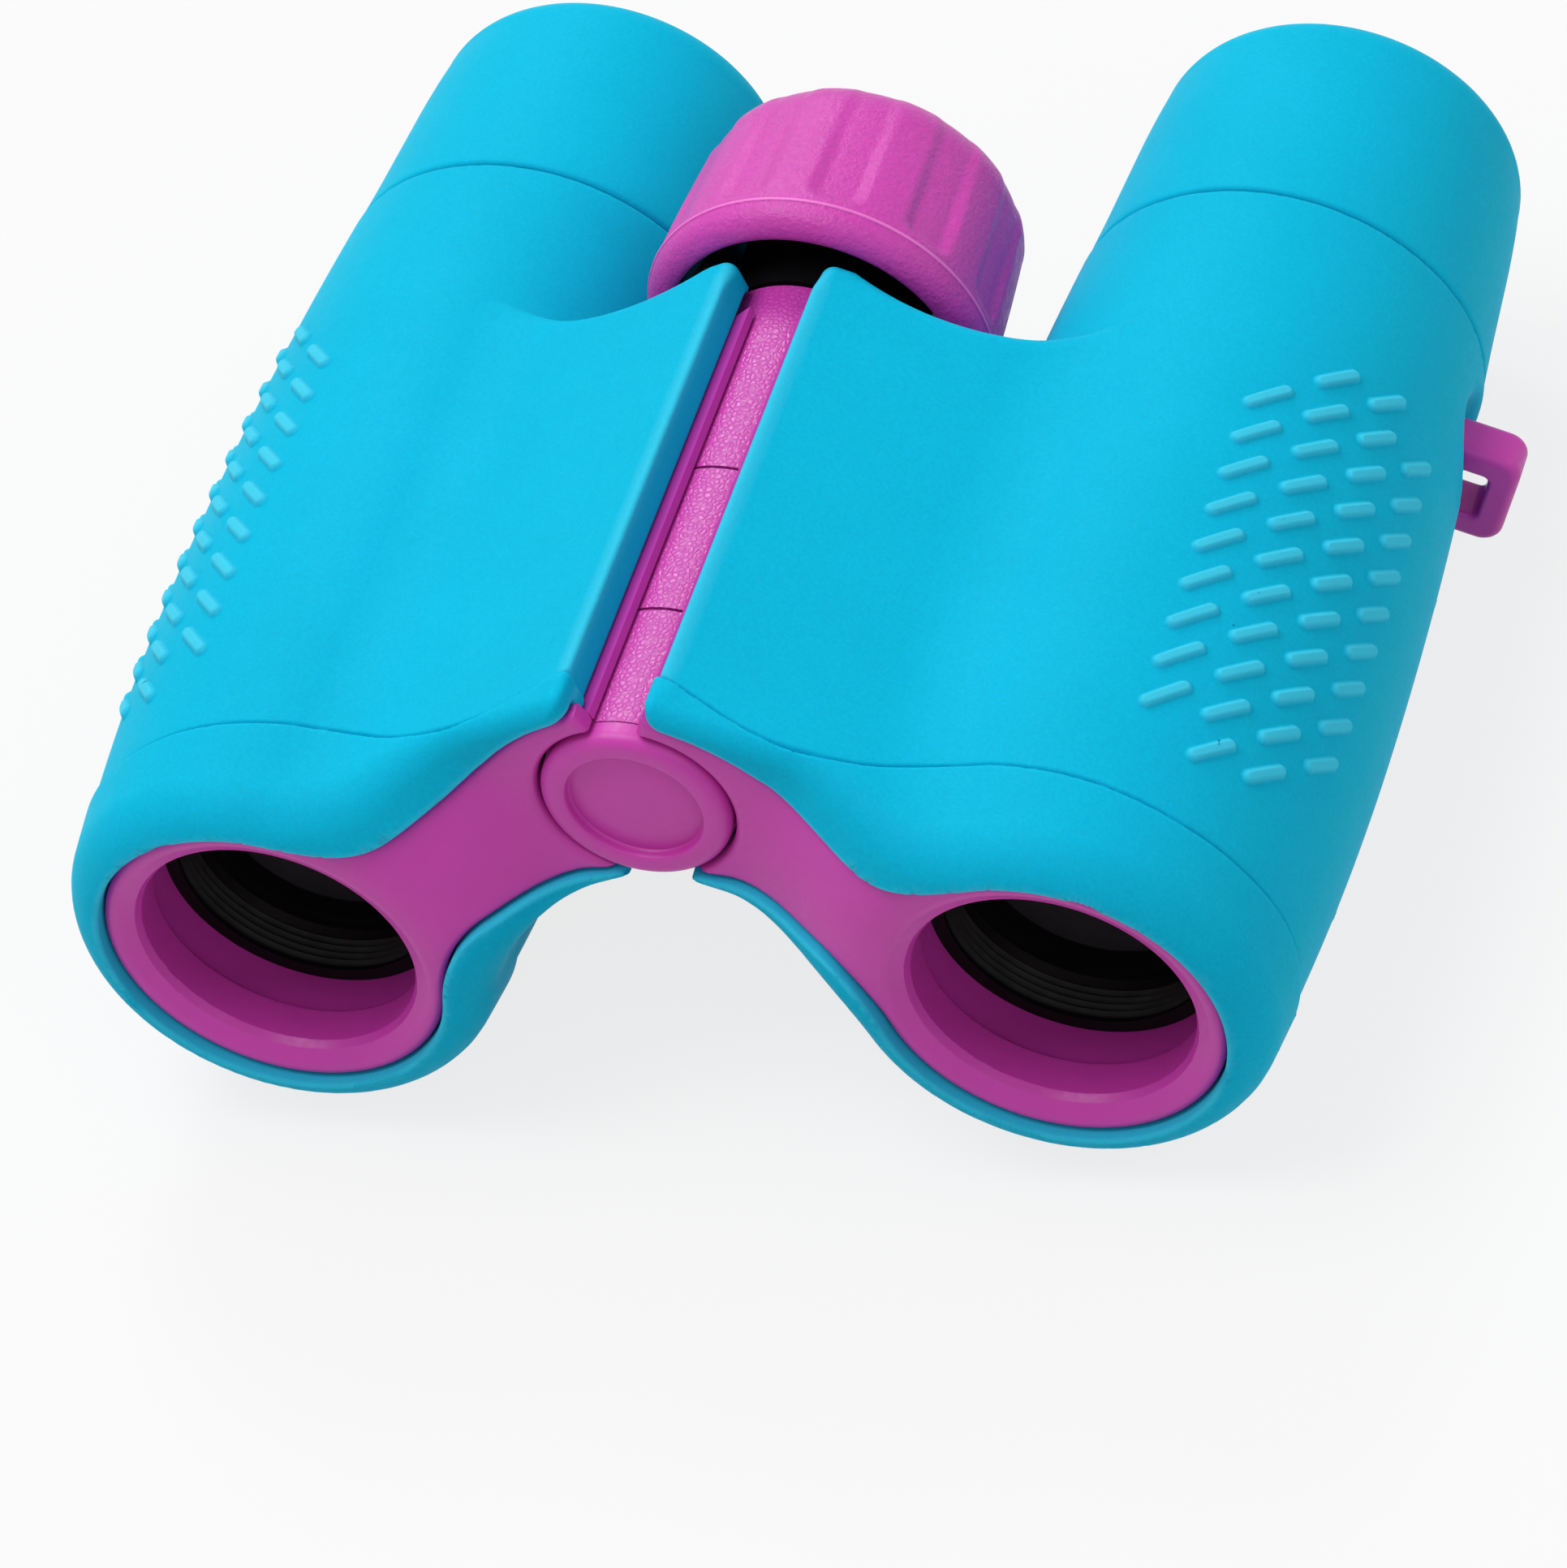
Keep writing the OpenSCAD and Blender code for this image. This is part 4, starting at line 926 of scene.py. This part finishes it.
# Finishes of the nodes that keep their shape
GLASS_WORDS = ("prism", "lens", "crown", "flint")
STEEL_NODES = ("hinge_axle", "hinge_screw", "focus_rod", "focus_cross_pin", "knob_clip")
for name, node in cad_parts.items():
    if name.endswith("_frame"):
        finish = plate_magenta
    elif any(word in name for word in GLASS_WORDS) and "cage" not in name:
        finish = glass
    elif name in STEEL_NODES:
        finish = steel
    elif name == "knob_hub":
        finish = gloss_black
    elif name == "knob_end_cap":
        finish = knob_magenta
    elif name.endswith(("_front_plate", "_strap_lug")) or name in ("hinge_cap", "focus_knob"):
        finish = plate_magenta
    elif name.endswith(("_armour", "_eyecup")):
        finish = rubber
    else:
        finish = matt_black
    node.data.materials.clear()
    node.data.materials.append(finish)
    index = np.zeros(len(node.data.polygons), np.int32)
    if name.endswith("_frame"):
        node.data.materials.append(leather)
        centres = np.array([face.center[:] for face in node.data.polygons])
        index[np.hypot(centres[:, 0], centres[:, 2] - HINGE_H * MM) < (HINGE_R + 0.15) * MM] = 1
    node.data.polygons.foreach_set("material_index", index)

# Pieces on each half
SIDES = (("left", -1, "left_half", "left_half"), ("right", 1, "right_half", "dioptre_ring"))
armour = field_mesh(armour_field, (-2.6, -21.5, -1.2), (59.5, 21.5, 76.4), 0.9,
                    armour_fine, 3, 14, armour_lip)
plate = field_mesh(plate_field, (-2.2, -15.4, -0.4), (51.4, 15.4, 9.2), 0.45,
                   plate_fine, 2, 14)
lug = field_mesh(lug_field, (49.0, -6.6, LUG_MID - 2.8), (60.4, 5.6, LUG_MID + 2.8), 0.4,
                 lambda p, level: np.zeros(len(p), bool), 1, 12)
for name, side, half, cup_body in SIDES:
    add_field(name + "_rubber", armour, side, half, rubber, name + "_armour",
              armour_painted_highlight)
    add_field(name + "_plate", plate, side, half, plate_magenta,
              name + "_front_plate")
    add_field(name + "_lug", lug, side, half, plate_magenta,
              name + "_strap_lug")
    add_turned(name + "_cup", eyecup_profile(), 144, (SPACING, 0), side, cup_body,
               rubber, name + "_eyecup")
add_turned("hinge_cap_moulded", cap_profile(), 128, (0, 0), -1, "left_half",
           plate_magenta, "hinge_cap")
make_knob(knob_magenta, bead_highlight_magenta)

# Floor, light and camera


def lamp(name, place, target, size, power):
    data = bpy.data.lights.new(name, "AREA")
    data.shape = "SQUARE"
    data.size = size
    data.energy = power
    light = bpy.data.objects.new(name, data)
    light.location = place
    light.rotation_euler = (Vector(target) - Vector(place)).to_track_quat("-Z", "Y").to_euler()
    bpy.context.scene.collection.objects.link(light)


def background_rays(tree):
    """A factor that is one for rays that show the background itself."""
    path = tree.nodes.new("ShaderNodeLightPath")
    first = tree.nodes.new("ShaderNodeMath")
    first.operation = "MAXIMUM"
    tree.links.new(path.outputs["Is Camera Ray"], first.inputs[0])
    tree.links.new(path.outputs["Is Glossy Ray"], first.inputs[1])
    second = tree.nodes.new("ShaderNodeMath")
    second.operation = "MAXIMUM"
    tree.links.new(first.outputs[0], second.inputs[0])
    tree.links.new(path.outputs["Is Transmission Ray"], second.inputs[1])
    return second.outputs[0]


def make_floor():
    """A pale floor that keeps the shadow and glows towards the camera."""
    bm = bmesh.new()
    bmesh.ops.create_grid(bm, x_segments=24, y_segments=24, size=3.0)
    mesh = bpy.data.meshes.new("floor")
    bm.to_mesh(mesh)
    bm.free()
    floor = bpy.data.objects.new("floor", mesh)
    floor.location = (0, 0, -0.0004)
    bpy.context.scene.collection.objects.link(floor)
    material, tree, shader = new_material("pale_floor", (0.66, 0.66, 0.66), 0.6,
                                          Specular_IOR_Level=0.1)
    tone = ramp(tree, noise(tree, 3, 2), [(0.3, grey(0.65)), (0.7, grey(0.67))])
    tree.links.new(tone, shader.inputs["Base Color"])
    glow = tree.nodes.new("ShaderNodeEmission")
    glow.inputs["Strength"].default_value = 1.0
    part = tree.nodes.new("ShaderNodeMath")
    part.operation = "MULTIPLY"
    part.inputs[1].default_value = 0.8
    tree.links.new(background_rays(tree), part.inputs[0])
    blend = tree.nodes.new("ShaderNodeMixShader")
    tree.links.new(part.outputs[0], blend.inputs["Fac"])
    tree.links.new(shader.outputs[0], blend.inputs[1])
    tree.links.new(glow.outputs[0], blend.inputs[2])
    tree.links.new(blend.outputs[0], tree.nodes["Material Output"].inputs["Surface"])
    mesh.materials.append(material)


def make_world():
    """White where the background shows, and a dimmer light on the object."""
    lit = 0.42
    world = bpy.data.worlds.new("studio")
    bpy.context.scene.world = world
    world.use_nodes = True
    tree = world.node_tree
    back = tree.nodes["Background"]
    back.inputs["Color"].default_value = (1, 1, 1, 1)
    level = tree.nodes.new("ShaderNodeMath")
    level.operation = "MULTIPLY_ADD"
    level.inputs[1].default_value = 1.0 - lit
    level.inputs[2].default_value = lit
    tree.links.new(background_rays(tree), level.inputs[0])
    tree.links.new(level.outputs[0], back.inputs["Strength"])


CAMERA_LENS = 36.0 * 11574 / 1931
CAMERA_PLACE = Vector((268.31, -501.05, 548.42)) * MM
CAMERA_LOOK = Vector((0.34821, -0.62555, 0.69816))
CAMERA_ROLL = math.radians(-17.87)


def make_camera():
    data = bpy.data.cameras.new("camera")
    data.sensor_width = 36.0
    data.sensor_fit = "HORIZONTAL"
    data.lens = CAMERA_LENS
    data.clip_start = 0.05
    data.clip_end = 20
    camera = bpy.data.objects.new("camera", data)
    look = CAMERA_LOOK.normalized()
    flat_x = Vector((0, 0, 1)).cross(look).normalized()
    flat_y = look.cross(flat_x)
    right = math.cos(CAMERA_ROLL) * flat_x + math.sin(CAMERA_ROLL) * flat_y
    turn = Matrix((right, look.cross(right), look)).transposed()
    camera.matrix_world = Matrix.Translation(CAMERA_PLACE) @ turn.to_4x4()
    bpy.context.scene.collection.objects.link(camera)
    bpy.context.scene.camera = camera


make_floor()
make_world()
lamp("key", (-0.25, -0.08, 0.80), (0, 0, 0.02), 0.5, 4.3)
lamp("fill", (0.55, -0.55, 0.55), (0, 0, 0.02), 0.5, 0.75)
lamp("back", (-0.36, 0.66, 0.74), (0, 0, 0.03), 0.3, 3.0)
lamp("side", (0.75, 0.15, 0.45), (0, 0, 0.03), 0.4, 0.8)
make_camera()
bpy.context.scene.view_settings.view_transform = "Standard"
